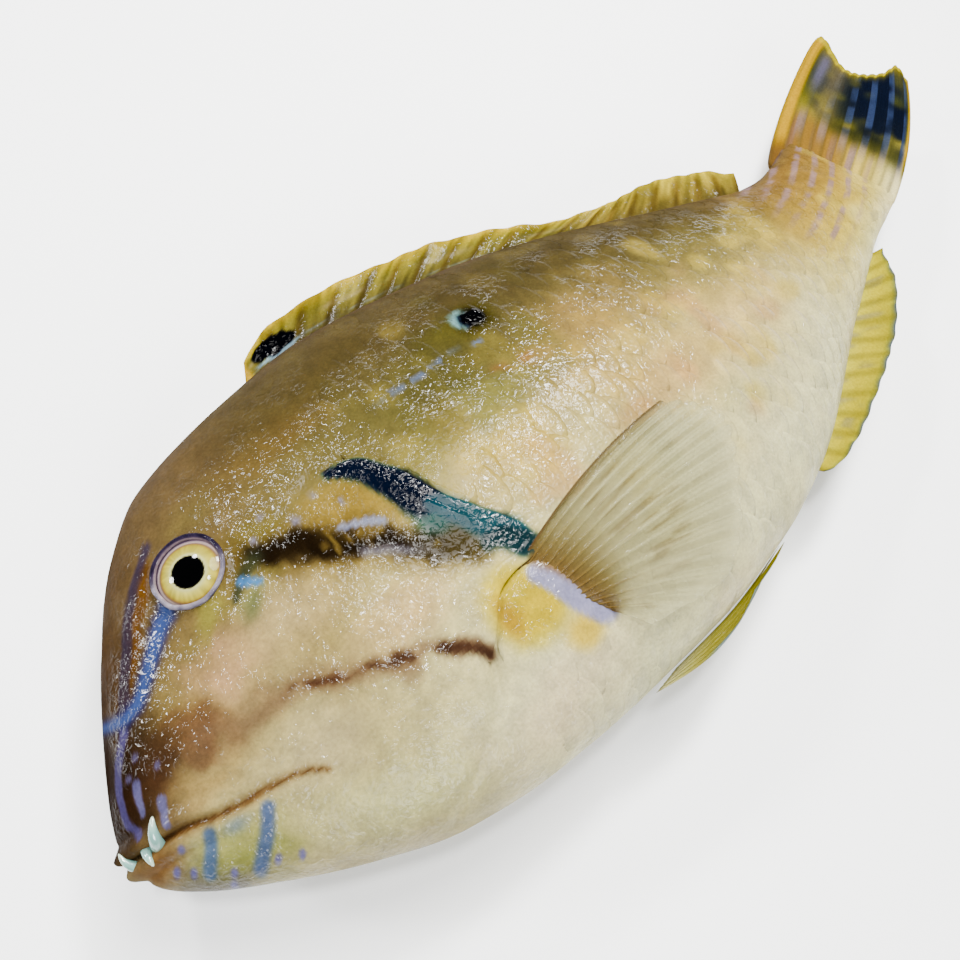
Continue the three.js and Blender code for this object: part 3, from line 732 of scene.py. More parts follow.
def sheetPlace(shape):  # shape(u, v, side) gives the middle, the way out, half thickness, tones and extras
    def place(flat):
        u = np.clip(flat[:, 0] + 0.5, 0, 1)
        v = np.clip(flat[:, 1] + 0.5, 0, 1)
        middleZ = (flat[:, 2].min() + flat[:, 2].max()) / 2
        side = np.where(flat[:, 2] > middleZ, 1.0, -1.0)
        points, out, half, tone, extra = shape(u, v, side)
        points = points + out * (side * half)[:, None]
        points[:, 2] = np.maximum(points[:, 2], -fish["restHeight"] + 0.1)
        return posed(points), np.clip(tone, 0, 1), extra

    return place


def onFlank(points, normals, sign):  # from the left flank to either flank
    mirror = np.array([1.0, 1.0, sign])
    return points * mirror, normals * mirror


print("gill membranes")
flap = {"from": (103, 28), "to": (98, -41), "tuck": 3.4, "reach": 1.5, "rise": 0.98, "half": 0.2}


def flapShape(sign):
    start = np.argmin(np.hypot(*(coverLine - flap["from"]).T))
    end = np.argmin(np.hypot(*(coverLine - flap["to"]).T))
    edge = coverLine[start:end + 1]
    lengths = np.concatenate([[0], np.cumsum(np.hypot(*np.diff(edge, axis=0).T))])
    tangent = np.gradient(edge, axis=0)
    outward = np.stack([-tangent[:, 1], tangent[:, 0]], 1) / np.hypot(*tangent.T)[:, None]
    if insideOf(edge[8:9] + outward[8:9], coverLine)[0] > 0:
        outward = -outward

    def shape(u, v, side):
        s = u * lengths[-1]
        ends = ease(np.minimum(s, lengths[-1] - s) / 7)
        line = np.stack([np.interp(s, lengths, row) for row in edge.T], 1)
        out = np.stack([np.interp(s, lengths, row) for row in outward.T], 1)
        frill = 0.25 * lumps(np.stack([s, 0 * s, 0 * s], 1), 5, 81)
        x, y = (line + out * blend(-flap["tuck"], flap["reach"] * ends + frill, v)[:, None]).T
        base = np.stack([x, y, skinZ(x, y)], 1)
        normal = skinNormal(x, y)
        rise = blend(0.62, flap["rise"], ease(v * 2.4)) * blend(0.35, 1, ends)
        rise = rise - fish["scaleDepth"] - 0.12 * ease((v - 0.8) / 0.2)
        half = flap["half"] * np.sqrt(np.clip(1 - v**6, 0.02, 1))
        points, normal = onFlank(base + normal * rise[:, None], normal, sign)
        return points, normal, half, paint(base), {}

    return shape


for name, sign in (("left", 1), ("right", -1)):
    piece = addPiece(f"gill_membrane_{name}", slab(200, 14), sheetPlace(flapShape(sign)), wetSkin)
    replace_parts(piece, f"gill_cover_{name}")

print("scales")
scaleRows = {
    "from": 100.0, "to": 351.0, "columns": 46, "rows": 13, "slant": -0.23, "bareBefore": 100,
    "lastRoot": 344,
}
scale = {
    "long": 1.95,  # in columns
    "wide": 1.32,  # in rows
    "lift": 0.026,  # free edge above the skin
    "sink": 0.06,
    "thick": 0.06,
    "steps": 8,
    "bakePatch": 0.0028,  # each scale's width on the skin's unwrap
}
pitch = (scaleRows["to"] - scaleRows["from"]) / scaleRows["columns"]
sections = {"from": 60, "to": 353, "count": 148, "around": 60, "shares": 120}
sectionX = np.linspace(sections["from"], sections["to"], sections["count"])


def girthAngles():  # for each section, the angles at even shares of the way from the back to the belly
    count = sections["around"]
    angle = np.linspace(np.pi / 2, -np.pi / 2, count)
    loop = skinAt(np.repeat(sectionX, count), np.tile(angle, len(sectionX))).reshape(-1, count, 3)
    steps = np.linalg.norm(np.diff(loop, axis=1), axis=2)
    arcs = np.concatenate([np.zeros((len(loop), 1)), np.cumsum(steps, 1)], 1)
    shares = np.linspace(0, 1, sections["shares"] + 1)
    return np.stack([np.interp(shares, arc / arc[-1], angle) for arc in arcs])


angleTable = girthAngles()


def angleAt(x, share):  # share of the way from the back to the belly
    index = np.clip((x - sectionX[0]) / (sectionX[1] - sectionX[0]), 0, len(sectionX) - 1.001)
    at = np.clip(share, 0, 1) * sections["shares"]
    row, k = index.astype(int), np.clip(at.astype(int), 0, sections["shares"] - 1)
    f, g = index - row, at - k
    a = angleTable[row, k] * (1 - g) + angleTable[row, k + 1] * g
    b = angleTable[row + 1, k] * (1 - g) + angleTable[row + 1, k + 1] * g
    return a * (1 - f) + b * f


def scaleRoots(side):  # x, share down the flank and size of each scale
    rng = np.random.default_rng(11 if side > 0 else 12)
    roots = []
    for column in range(-7, scaleRows["columns"] - 1):
        for row in range(scaleRows["rows"] + 1):
            share = (row + 0.5 * (column % 2)) / scaleRows["rows"]
            if not 0.004 < share < 0.996:
                continue
            x = scaleRows["from"] + column * pitch
            y = skinAt(np.array([x]), angleAt(np.array([x]), np.array([share])))[0, 1]
            x += scaleRows["slant"] * (middle(x) - y) * ease((x - 120) / 60)
            roots.append((x + rng.normal(0, 0.25), share + rng.normal(0, 0.0015), rng.uniform(0.94, 1.06)))
    roots = np.array(roots)
    y = skinAt(roots[:, 0], angleAt(roots[:, 0], roots[:, 1]))[:, 1]
    p = np.stack([roots[:, 0] + 3, y], 1)
    underFin = (np.hypot((p[:, 0] - 118) / 12, (p[:, 1] + 38) / 15) < 1) & (p[:, 0] < 131)
    clear = (insideOf(p, coverLine) < -1.0) & ~underFin
    clear &= (roots[:, 0] > scaleRows["bareBefore"]) & (roots[:, 0] < scaleRows["lastRoot"])
    return roots[clear]


def scalesPlace(roots, side):
    def place(flat):
        each = flat.reshape(len(roots), -1, 3)
        a, b, top = each[:, :, 0], each[:, :, 1], each[:, :, 2] > 0.5
        size = roots[:, 2:3]
        # a rounded plate: the square grid drawn to a disc, blunt at the root
        reach = np.sqrt(np.clip(1 - 0.5 * b**2, 0, 1))
        wide = np.sqrt(np.clip(1 - 0.5 * a**2, 0, 1))
        x = roots[:, 0:1] + pitch * scale["long"] * 0.5 * size * (a * reach + 1)
        share = roots[:, 1:2] + b * wide * 0.5 * scale["wide"] / scaleRows["rows"] * size
        flip = np.where((share < 0) | (share > 1), -1, 1)  # over the back or the belly to the other flank
        share = np.where(share < 0, -share, np.where(share > 1, 2 - share, share))
        x, share, flip, top = [v.ravel() for v in (x, share, flip, top)]
        base = skinAt(x, angleAt(x, share), -fish["scaleDepth"])
        base[:, 2] *= taper(x)
        normal = skinNormal(x, base[:, 1])
        base[:, 2] *= side * flip
        normal[:, 2] *= side * flip
        tail = ((a * reach + 1) / 2).ravel()
        edge = (b * wide).ravel()
        rim = np.maximum(np.abs(a), np.abs(b)).ravel() ** 5
        raised = blend(-0.02, scale["lift"], ease((x - 100) / 110))
        lift = blend(-scale["sink"], raised, ease(tail * 1.1)) + 0.02 * (1 - edge**2) * tail - 0.012 * rim
        lift = lift - np.where(top, 0, blend(scale["thick"], 0.02, rim))
        points = base + normal * lift[:, None]
        points[:, 2] = np.maximum(points[:, 2], -fish["restHeight"] + 0.08)
        pale = ease((tail - 0.8) / 0.2) * 0.025 - 0.02 * ease((0.62 - tail) / 0.2)
        jitter = np.random.default_rng(5).normal(0, 0.016, len(roots))
        tone = paint(base) * (1 + pale + np.repeat(jitter, each.shape[1]))[:, None]
        # a pinkish line along the free edge of the scales behind the pectoral fin
        high = (base[:, 1] - belly(x)) / (back(x) - belly(x))
        line = ease((tail - 0.84) / 0.1) * ease((x - 178 + 0.6 * base[:, 1]) / 30) * ease((300 - x) / 30)
        line = line * ease((high - 0.16) / 0.14) * ease((0.66 - high) / 0.3)
        tone = mixed(tone, "#e0cfc4", 0.5 * line)
        slime = slimeOn(base) * (1 - 0.75 * ease((rim - 0.25) / 0.4))
        return posed(points), np.clip(tone, 0, 1), {"slime": slime}

    return place


def plateMesh():  # one flat plate, its top at 1 and its underside at 0
    bm = bmesh.new()
    bmesh.ops.create_grid(bm, x_segments=scale["steps"], y_segments=scale["steps"], size=1)
    bmesh.ops.solidify(bm, geom=bm.faces[:], thickness=1.0)
    heights = [v.co.z for v in bm.verts]
    middleZ = (min(heights) + max(heights)) / 2
    for v in bm.verts:
        v.co.z = 1.0 if v.co.z > middleZ else 0.0
    plate = bpy.data.meshes.new("plate")
    bm.to_mesh(plate)
    bm.free()
    return plate


plate = plateMesh()


def addScales(name, roots, side):  # each scale's patch on the unwrap lies at its root
    bm = bmesh.new()
    for _ in roots:
        bm.from_mesh(plate)
    uv = bm.loops.layers.uv.new("OFBake")
    patch = scale["bakePatch"] / 2
    for face in bm.faces:
        for loop in face.loops:
            x, share, _ = roots[loop.vert.index // len(plate.vertices)]
            u = 0.5 + side * (0.02 + 0.46 * share)
            v = 0.02 + 0.96 * x / fish["length"]
            loop[uv].uv = (u + patch * loop.vert.co.y, v + patch * loop.vert.co.x)
    return addPiece(name, bm, scalesPlace(roots, side), wetScales)


for side, label in ((1, "left"), (-1, "right")):
    roots = scaleRoots(side)
    order = roots[np.argsort(roots[:, 0], kind="stable")]
    half = len(order) // 2
    for part, some in (("front", order[:half]), ("rear", order[half:])):
        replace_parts(addScales(f"scales_{label}_{part}", some, side), "trunk", "hind_trunk", "tail_stem")
    print(label, len(roots), "scales")
bpy.data.meshes.remove(plate)


# fins
def rayOf(u, rays):  # 1 on the crest of a ray, 0 between the rays
    return 0.5 + 0.5 * np.cos(2 * np.pi * (u * (rays - 1)))


def forkOf(u, rays):  # the same for the two branches that a soft ray splits into
    return 0.5 + 0.5 * np.cos(2 * np.pi * u * (rays - 1) * 2 + np.pi)


def upright(u):
    return np.stack([0 * u, 0 * u, 1 + 0 * u], 1)


def gradient(t, stops):  # a colour for each t from (place, hex) stops
    places = [place for place, _ in stops]
    colors = np.array([toned(color) for _, color in stops])
    return np.stack([np.interp(t, places, colors[:, k]) for k in range(3)], 1)


finMaterial = wetMaterial("wet fin membrane", coat=0.1, bump=0.3)  # a dull wet sheen, without glints
finClear = wetMaterial("thin wet fin", coat=0.25, bump=0.4, seeThrough=True, glow=0.0)  # shows the flank

print("fins")
dorsal = {
    "height": profile([
        (103, 0.6), (108, 5), (125, 12), (150, 14.2), (180, 14.4), (207, 13), (221, 10.8), (236, 8.4),
        (255, 10),
        (276, 16), (290, 17.2), (304, 16), (317, 9),
    ]),
    "spiny": {"from": 104.5, "to": 236.6, "rays": 13, "dip": 0.5},
    "soft": {"from": 236.7, "to": 305.5, "rays": 8, "dip": 0.45},
    "mark": (121.5, 4.6),  # the black mark, above the line of the back
}


def dorsalRake(u, soft):  # how far the tip of a ray lies behind its root
    return blend(21, 11.5, u) if soft else blend(6, 21, np.clip(u * 3, 0, 1))


def dorsalTones(px, py, v, points, ray):
    tone = gradient(v, [
        (0, "#5e553a"), (0.2, "#6c6334"), (0.45, "#837a38"), (0.72, "#948a38"), (0.88, "#aa9a28"),
        (1, "#bfa81c"),
    ])
    pale = gradient(
        v, [(0, "#6a603c"), (0.3, "#8a7c3c"), (0.6, "#a4943e"), (0.85, "#b0a03a"), (1, "#bcab26")],
    )
    toSoft = ease((px - 225) / 25)
    tone = tone + (pale - tone) * toSoft[:, None]
    # a light line along the foot and a broken one half way out
    line = ease(1 - np.abs(v - 0.3) / 0.05) * ease((230 - px) / 40)
    tone = mixed(tone, "#8a93a0", 0.5 * line * ease(0.6 + lumps(points, 5, 33)))
    broken = ease(1 - np.abs(v - 0.6) / 0.12) * ease(0.4 + lumps(points, 6, 34))
    tone = mixed(tone, "#b0a386", 0.5 * broken * (1 - toSoft))
    return mixed(tone, "#5f4e1e", 0.55 * ray * ease((v - 0.1) / 0.2) * ease((1.02 - v) / 0.3))


def dorsalMark(tone, px, py, ripple):  # the black mark between the first spines, edged with pale blue
    high = py - back(px)
    mark = np.stack([px - dorsal["mark"][0], high - dorsal["mark"][1]], 1) @ np.array([[1, 0.04], [-0.35, 1]])
    r = np.hypot(mark[:, 0] / 8.8, mark[:, 1] / 3.3) + 0.12 * ripple
    tone = mixed(tone, "#8fa6bc", 0.85 * ease((1.45 - r) / 0.14) * ease((2.6 - high) / 1.2))
    tone = mixed(tone, "#0c0f12", 0.98 * ease((1.1 - r) / 0.15))
    tone = mixed(tone, "#c9a91c", 0.9 * ease((111.5 - px) / 3))
    tip = 0.8 * ease((high - dorsal["height"](px) + 0.8) / 0.8) * ease((112 - px) / 4)
    return mixed(tone, "#24282a", tip)


def dorsalShape(part):
    fin, soft = dorsal[part], part == "soft"

    def shape(u, v, side):
        x = blend(fin["from"], fin["to"], u)
        edgeX = x + dorsalRake(u, soft)
        crest = rayOf(u, fin["rays"])
        ray = crest ** (3 if soft else 5)
        edge = back(edgeX) + dorsal["height"](edgeX) - fin["dip"] * (1 - crest) ** 1.5
        px = blend(x, edgeX, v)
        py = blend(back(x) - 2.6, edge, v)
        sway = 0.35 * np.sin(u * fin["rays"] * 2.1 + 1) * v**1.5
        sway = sway + 0.5 * lumps(np.stack([px, py, 0 * px], 1), 9, 31) * v
        points = np.stack([px, py, sway], 1)
        half = blend(0.3, 0.16, v) + blend(0.42, 0.1, v) * ray
        along = np.stack([u * (fin["to"] - fin["from"]), v * 5, side * 4], 1)
        ripple = lumps(along, 1.7, 32) + 0.6 * lumps(along, 3.4, 35)
        tone = dorsalTones(px, py, v, points, ray)
        if not soft:
            tone = dorsalMark(tone, px, py, ripple)
        tone = tone * (1 + 0.17 * ripple * ease(v / 0.3))[:, None]
        return points, upright(u), half, tone, {}

    return shape


for part, columns in (("spiny", 260), ("soft", 170)):
    name = f"dorsal_fin_{part}"
    piece = addPiece(f"{name}_skin", slab(columns, 26), sheetPlace(dorsalShape(part)), finMaterial)
    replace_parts(piece, name)

anal = {
    "depth": profile(
        [(231, 1), (236, 5), (246, 8.5), (265, 13.5), (283, 15.8), (299, 17), (313, 12.5), (327, 3.4)],
    ),
    "rays": 13,
}


def analShape(u, v, side):
    x = blend(230, 317.5, u)
    edgeX = x + blend(2, 9.5, u) + 44 * u * (1 - u)
    ray = rayOf(u, anal["rays"]) ** 3
    root = belly(x) + 2.6
    edge = belly(edgeX) - anal["depth"](edgeX) + 0.4 * (1 - rayOf(u, anal["rays"])) ** 1.5
    px, py = blend(x, edgeX, v), blend(root, edge, v)
    sway = 1.1 * np.sin(u * 17 + 0.5) * v**1.5
    points = np.stack([px, py, sway], 1)
    half = blend(0.3, 0.16, v) + blend(0.7, 0.2, v) * ray
    tone = gradient(v, [
        (0, "#ded9a4"), (0.2, "#d2c748"), (0.55, "#c9bc1c"), (0.84, "#bbb01e"), (0.94, "#8f8f58"),
        (1, "#66758a"),
    ])
    along = np.stack([u * 88, v * 6, side * 4], 1)
    tone = mixed(tone, "#a29a8c", 0.6 * ease(lumps(along, 2.4, 41) * 1.6 - 0.1) * ease((0.9 - v) / 0.3))
    tone = mixed(tone, "#d2c930", 0.5 * ease(-lumps(along, 2.4, 41) * 1.6 - 0.2))
    tone = mixed(tone, "#8a7f26", 0.4 * ray)
    return points, upright(u), half, tone, {}


analFin = addPiece("anal_fin_skin", slab(220, 26), sheetPlace(analShape), finMaterial)
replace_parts(analFin, "anal_fin")

caudal = {
    "upperTip": (435, 24), "lowerTip": (421, -16.5), "notch": 417.5,
    "root": (332, 348),  # at the back and below it
    "bow": 10.2,  # of the upper edge
    "rays": 13,
}


def caudalTones(u, v, px, rootX, rootY, points, side, ridge):
    tone = gradient(v, [
        (0, "#b09a3e"), (0.22, "#b39d38"), (0.42, "#a39634"), (0.6, "#6c6a26"), (0.75, "#4c5030"),
        (0.92, "#625f34"), (1, "#9c8c20"),
    ])
    rootY = np.clip(rootY, belly(rootX) + 2, back(rootX) - 3)
    onStem = paint(np.stack([np.minimum(px, 352), rootY, 4 * side], 1))
    tone = onStem + (tone - onStem) * ease((v - 0.22) / 0.25)[:, None]
    tone = mixed(tone, "#8c6a2c", 0.55 * ease((0.5 - v) / 0.2) * ease((0.62 - u) / 0.3))
    # lilac stripes that run on from the stem, then slate blue along the rays
    stripe = ease((np.cos((u * 6.2 + 0.1) * 2 * np.pi) - 0.1) / 0.6)
    tone = mixed(tone, "#9c8b98", 0.6 * stripe * ease((0.5 - v) / 0.15) * ease((v - 0.12) / 0.2))
    across = blend(0.55 * ease((u - 0.12) / 0.1), 1, ease((u - 0.3) / 0.25))
    ends = ease((1.0 - v) / 0.1) * ease((0.985 - u) / 0.05)
    navy = ease((v - blend(0.42, 0.18, u)) / 0.16) * across * ends
    tone = mixed(tone, "#202832", 0.92 * navy * ease(0.85 + lumps(points, 6, 51)))
    slate = ease((stripe * 1.1 - 0.45) / 0.5) * ease(0.8 + lumps(points, 5, 52))
    tone = mixed(tone, "#56627c", 0.75 * navy * slate)
    olive = ease(1 - np.abs(v - blend(0.5, 0.28, u)) / 0.16) * ease((u - 0.15) / 0.25)
    tone = mixed(tone, "#54531f", 0.75 * olive * (1 - 0.7 * stripe))
    lilac = ease(1 - np.abs(u - 0.15) / 0.075) * ease((v - 0.5) / 0.3) * ease((1.02 - v) / 0.12)
    tone = mixed(tone, "#7d7890", 0.85 * lilac)
    buff = ease(1 - np.abs(u - 0.27) / 0.16) * ease((v - 0.3) / 0.2)
    tone = mixed(tone, "#a29068", 0.5 * buff * (1 - lilac))
    border = ease((0.1 - u) / 0.035) + ease((u - 0.965) / 0.02) * ease((v - 0.15) / 0.3)
    tone = mixed(tone, "#c4a200", np.clip(border, 0, 1) * 0.97 * ease((v - 0.08) / 0.15))
    tone = mixed(tone, "#d0c000", 0.9 * ease((v - 0.965) / 0.025))
    return mixed(tone, "#5f5c3c", 0.25 * ridge * (1 - navy))


def caudalShape(u, v, side):
    ray = rayOf(u, caudal["rays"])
    upper = (caudal["upperTip"][0] - caudal["notch"]) * np.exp(-((u / 0.15) ** 2))
    lower = 8 * np.exp(-(((u - 0.86) / 0.12) ** 2))
    edgeX = caudal["notch"] + upper + lower - 0.7 * (1 - ray) ** 1.5
    edgeY = blend(caudal["upperTip"][1], caudal["lowerTip"][1], u)
    rootX = blend(*caudal["root"], np.clip(5 * u, 0, 1))
    rootY = blend(back(rootX) - 1, belly(rootX) + 0.3, u)
    px = blend(rootX, edgeX, v)
    bow = caudal["bow"] * (1 - u) ** 2 * np.sin(np.pi * np.clip(v, 0, 1)) ** 0.6
    py = blend(rootY, edgeY, v) + bow
    ridge = blend(ray**3, 0.7 * np.maximum(ray, forkOf(u, caudal["rays"])) ** 2, ease((v - 0.45) / 0.3))
    sway = 1.3 * np.sin(u * 9 + 1) * v**1.4
    points = np.stack([px, py, sway], 1)
    half = blend(0.55, 0.16, v) + blend(0.5, 0.16, v) * ridge
    tone = caudalTones(u, v, px, rootX, rootY, points, side, ridge)
    return points, upright(u), half, tone, {}


caudalFin = addPiece("caudal_fin_skin", slab(300, 56), sheetPlace(caudalShape), finMaterial)
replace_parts(caudalFin, "caudal_fin")

pectoral = {
    "left": {
        "root": ((119, -27.5), (132.5, -52.5)), "lead": 3, "rays": 15, "lift": 2.6,
        "edge": [
            (0, 185, -18.5), (0.13, 193.5, -24.5), (0.3, 198.5, -34), (0.5, 190.5, -47), (0.66, 180, -58),
            (0.82, 165, -65.5), (1, 138, -60.5),
        ],
    },
    "right": {
        "root": ((123.5, -41.5), (134, -57)), "lead": 1, "rays": 15, "lift": 0.9,
        "edge": [(0, 188, -46), (0.2, 195, -51), (0.5, 190, -58), (0.8, 172, -65), (1, 152, -67)],
    },
}


def pectoralTones(u, v, along, ridge, lead):
    tone = gradient(v, [
        (0, "#93814a"), (0.06, "#8a7440"), (0.15, "#9a8b54"), (0.3, "#b5ad80"), (0.7, "#cdc7a2"),
        (1, "#d8d2b4"),
    ])
    tone = mixed(tone, "#8d7c4c", 0.6 * ease(2.2 * lumps(along, 1.2, 62) - 0.3) * ease((0.95 - v) / 0.5))
    tone = mixed(tone, "#e4dfc4", 0.45 * ridge * ease((v - 0.2) / 0.3))
    tone = mixed(tone, "#6f5a34", 0.8 * lead)
    return mixed(tone, "#7d7040", 0.6 * ease((0.16 - u) / 0.16) * ease((v - 0.1) / 0.2) * (1 - ridge))


def pectoralCover(u, v, along, ridge, lead):  # how little the flank shows through
    thin = blend(0.8, 0.3, ease(v / 0.3)) * blend(1, 0.6, ease((u - 0.4) / 0.4) * ease(v * 3))
    streak = ease(1.8 * lumps(along, 1.5, 63) + 0.2)
    cover = thin + 0.25 * ridge + 0.12 * streak + 0.5 * lead
    return np.clip(cover, 0, 1) * blend(1, 0.6, ease((v - 0.9) / 0.1))


def pectoralShape(name, sign):
    fin = pectoral[name]
    edgeX = profile([(u, x) for u, x, _ in fin["edge"]])
    edgeY = profile([(u, y) for u, _, y in fin["edge"]])
    (x0, y0), (x1, y1) = fin["root"]

    def shape(u, v, side):
        ray = rayOf(u, fin["rays"])
        px = blend(blend(x0, x1, u), edgeX(u) - 1.4 * (1 - ray) ** 1.5, v)
        py = blend(blend(y0, y1, u), edgeY(u), v) + fin["lead"] * (1 - u) * 4 * v * (1 - v)
        out = skinNormal(px, py)
        ripple = 0.35 * lumps(np.stack([px, py, 0 * px], 1), 12, 61) * v
        raised = blend(-0.7, 1.3, ease(v * 6)) + fin["lift"] * v * v + ripple
        points = np.stack([px, py, skinZ(px, py)], 1) + out * raised[:, None]
        ridge = blend(ray**4, 0.7 * np.maximum(ray, forkOf(u, fin["rays"])) ** 4, ease((v - 0.4) / 0.3))
        lead = ease((0.035 - u) / 0.03)
        half = blend(0.28, 0.12, v) + blend(0.3, 0.1, v) * np.maximum(ridge, lead)
        along = np.stack([u * 60, v * 9, 0 * u], 1)
        points, out = onFlank(points, out, sign)
        cover = pectoralCover(u, v, along, ridge, lead)
        return points, out, half, pectoralTones(u, v, along, ridge, lead), {"cover": cover}

    return shape


for name, sign in (("left", 1), ("right", -1)):
    place = sheetPlace(pectoralShape(name, sign))
    piece = addPiece(f"pectoral_fin_{name}_skin", slab(260, 30), place, finClear)
    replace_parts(piece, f"pectoral_fin_{name}")


def pelvicShape(sign, lean):
    def shape(u, v, side):
        px = blend(blend(135, 145, u), blend(187, 200, u**0.5), v)
        clear = blend(3.6 * np.sin(np.pi * np.clip(v * 1.1 + 0.05, 0, 1)) + 0.9, 0.4, u)
        py = belly(px) - clear - blend(0.6, 0.1, u) * v
        points = np.stack([px, py, sign * (1.9 + lean * (1 - u) * v)], 1)
        ridge = rayOf(u, 6) ** 3
        half = blend(0.35, 0.2, v) + blend(0.6, 0.2, v) * ridge
        tone = gradient(v, [(0, "#d4cea4"), (0.3, "#a8a040"), (0.7, "#948c20"), (1, "#9c9420")])
        tone = mixed(tone, "#8f9fae", 0.85 * ease((0.22 - u) / 0.12) * ease((v - 0.25) / 0.2))
        return points, upright(u), half, tone, {}

    return shape


for name, sign, lean in (("left", 1, 0.6), ("right", -1, 3.5)):
    place = sheetPlace(pelvicShape(sign, lean))
    piece = addPiece(f"pelvic_fin_{name}_skin", slab(60, 50), place, finMaterial)
    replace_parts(piece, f"pelvic_fin_{name}")

print("eyes")


def placedOn(center, sign, local, rise):  # points round the z axis, stood on the skin
    x, y = np.array([center[0]], float), np.array([center[1]], float)
    normal = skinNormal(x, y)[0]
    turn = Vector((0, 0, 1)).rotation_difference(Vector(normal)).to_matrix()
    base = np.array([center[0], center[1], skinZ(x, y)[0]]) + normal * rise
    points = local @ np.array(turn).T + base
    points[:, 2] *= sign
    return points


irisRings = [
    (0, "#020303"), (4.1, "#030405"), (4.35, "#2b2712"), (4.6, "#d2cfa4"), (5.6, "#cfc670"), (7.2, "#c2b44a"),
    (7.9, "#a58a4c"), (8.15, "#8f7868"), (8.5, "#bcaaa4"), (8.9, "#a8969a"), (9.4, "#5a4c52"),
]


def eyePlace(sign):
    def place(unit):
        local = unit * np.array([head["eyeRadius"], head["eyeRadius"], head["eyeDepth"]])
        r = np.hypot(local[:, 0] - 0.2, local[:, 1] + 1.3)
        angle = np.arctan2(local[:, 1], local[:, 0])
        fibre = lumps(np.stack([np.cos(angle) * 30, np.sin(angle) * 30, r * 0.6], 1), 2.4, 71)
        tone = gradient(r, irisRings)
        onIris = ease((r - 5) / 0.6) * ease((8 - r) / 0.5)
        tone = tone * (1 + 0.09 * fibre * onIris)[:, None]
        tone = mixed(tone, "#b0a544", 0.45 * onIris * ease(np.sin(angle + 0.6)))
        return posed(placedOn(head["eye"], sign, local, -head["eyeSink"])), np.clip(tone, 0, 1), {}

    return place


eyeMaterial = newMaterial("wet cornea over the iris")  # sharp small highlights over a matt iris
eyeTint = addNode(eyeMaterial, "ShaderNodeAttribute", attribute_name="tint")
finishMaterial(eyeMaterial, {
    "Base Color": eyeTint.outputs["Color"], "Roughness": 0.5, "Coat Weight": 0.3, "Coat Roughness": 0.04,
    "Specular IOR Level": 0.0,
})
for name, sign in (("left", 1), ("right", -1)):
    bm = bmesh.new()
    bmesh.ops.create_uvsphere(bm, u_segments=128, v_segments=96, radius=1)
    eye = addPiece(f"eyeball_{name}", bm, eyePlace(sign), eyeMaterial)
    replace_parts(eye, f"eye_{name}")

lidMaterial = wetMaterial("wet eyelid", coat=0.28, bump=0.4)  # a soft moist ring round the eye


def lidPlace(sign):
    def place(ring):
        r = np.hypot(ring[:, 0], ring[:, 1])
        angle = np.arctan2(ring[:, 1], ring[:, 0])
        wide = 0.7 + 0.3 * ease(np.sin(angle) * 1.4)
        spread = head["eyeRadius"] - 0.9 + (r - 1) * 10 * wide + 0.25 * lumps(8 * ring / r[:, None], 3, 75)
        local = np.stack([spread * np.cos(angle), spread * np.sin(angle), ring[:, 2] * 6.5 + 0.25], 1)
        upper = ease(np.sin(angle + 0.35) * 1.6 + 0.35)
        outer = ease((spread - head["eyeRadius"] + 0.2) / 0.7)
        tone = gradient(upper, [(0, "#9d95a2"), (0.45, "#80767c"), (1, "#463c48")])
        tone = tone * (1 + 0.2 * lumps(local, 1.6, 76))[:, None]
        beyond = paint(np.array([[*head["eye"], 26.0]]) + local * (1.12, 1.12, 0))
        tone = tone + (beyond - tone) * (outer * 0.8)[:, None]
        tone = mixed(tone, "#c9b4ae", 0.6 * ease((head["eyeRadius"] - 1.1 - spread) / 0.5))
        return posed(placedOn(head["eye"], sign, local, 0.1)), np.clip(tone, 0, 1), {}

    return place


for name, sign in (("left", 1), ("right", -1)):
    bm = bmesh.new()
    section = Matrix.Translation((1, 0, 0)) @ Matrix.Rotation(math.pi / 2, 4, "X")
    bmesh.ops.create_circle(bm, segments=16, radius=0.1, matrix=section)
    bmesh.ops.spin(bm, geom=bm.edges[:], axis=(0, 0, 1), angle=2 * math.pi, steps=120, use_merge=True)
    bmesh.ops.remove_doubles(bm, verts=bm.verts[:], dist=1e-4)
    lid = addPiece(f"eyelid_{name}", bm, lidPlace(sign), lidMaterial)
    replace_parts(lid, "head")

print("teeth")
canines = [
    {
        "jaw": "lower_jaw", "root": (10, -18.2, 8.6), "tip": (13.5, -12, 14.8), "bow": (-1, -0.6, 3.8),
        "radius": 2.1,
    },
    {
        "jaw": "lower_jaw", "root": (4, -18.4, 3.4), "tip": (1.4, -12, 6.4), "bow": (-1.8, -1, 0.8),
        "radius": 1.8,
    },
    {
        "jaw": "upper_jaw", "root": (7.3, -15.4, 7), "tip": (6.8, -20.8, 10.4), "bow": (-0.4, 0.2, 1.8),
        "radius": 1.7,
    },
]


def toothPlace(tooth, sign):
    def place(unit):
        root, tip, bow = [np.array(tooth[k], float) * (1, 1, sign) for k in ("root", "tip", "bow")]
        t = np.arccos(np.clip(unit[:, 2], -1, 1)) / np.pi
        t = (t - t.min()) / (t.max() - t.min())
        axis = (tip - root) / np.linalg.norm(tip - root)
        side = np.cross(axis, (0.05, 0.02, 1.0))
        side /= np.linalg.norm(side)
        up = np.cross(side, axis)
        path = root + (tip - root) * t[:, None] + bow * (4 * t * (1 - t) * 0.5)[:, None]
        around = np.hypot(unit[:, 0], unit[:, 1])
        direction = unit[:, :2] / np.maximum(around, 1e-6)[:, None]
        radius = tooth["radius"] * np.sqrt(np.clip(1 - t, 0, 1)) * (1 - 0.22 * t) * (around > 1e-5)
        points = path + (direction[:, :1] * side + direction[:, 1:] * up) * radius[:, None]
        tone = gradient(t, [(0, "#a99a72"), (0.18, "#9fc0bf"), (0.6, "#a9cdd0"), (1, "#dfe8e2")])
        return posed(points), tone, {}

    return place


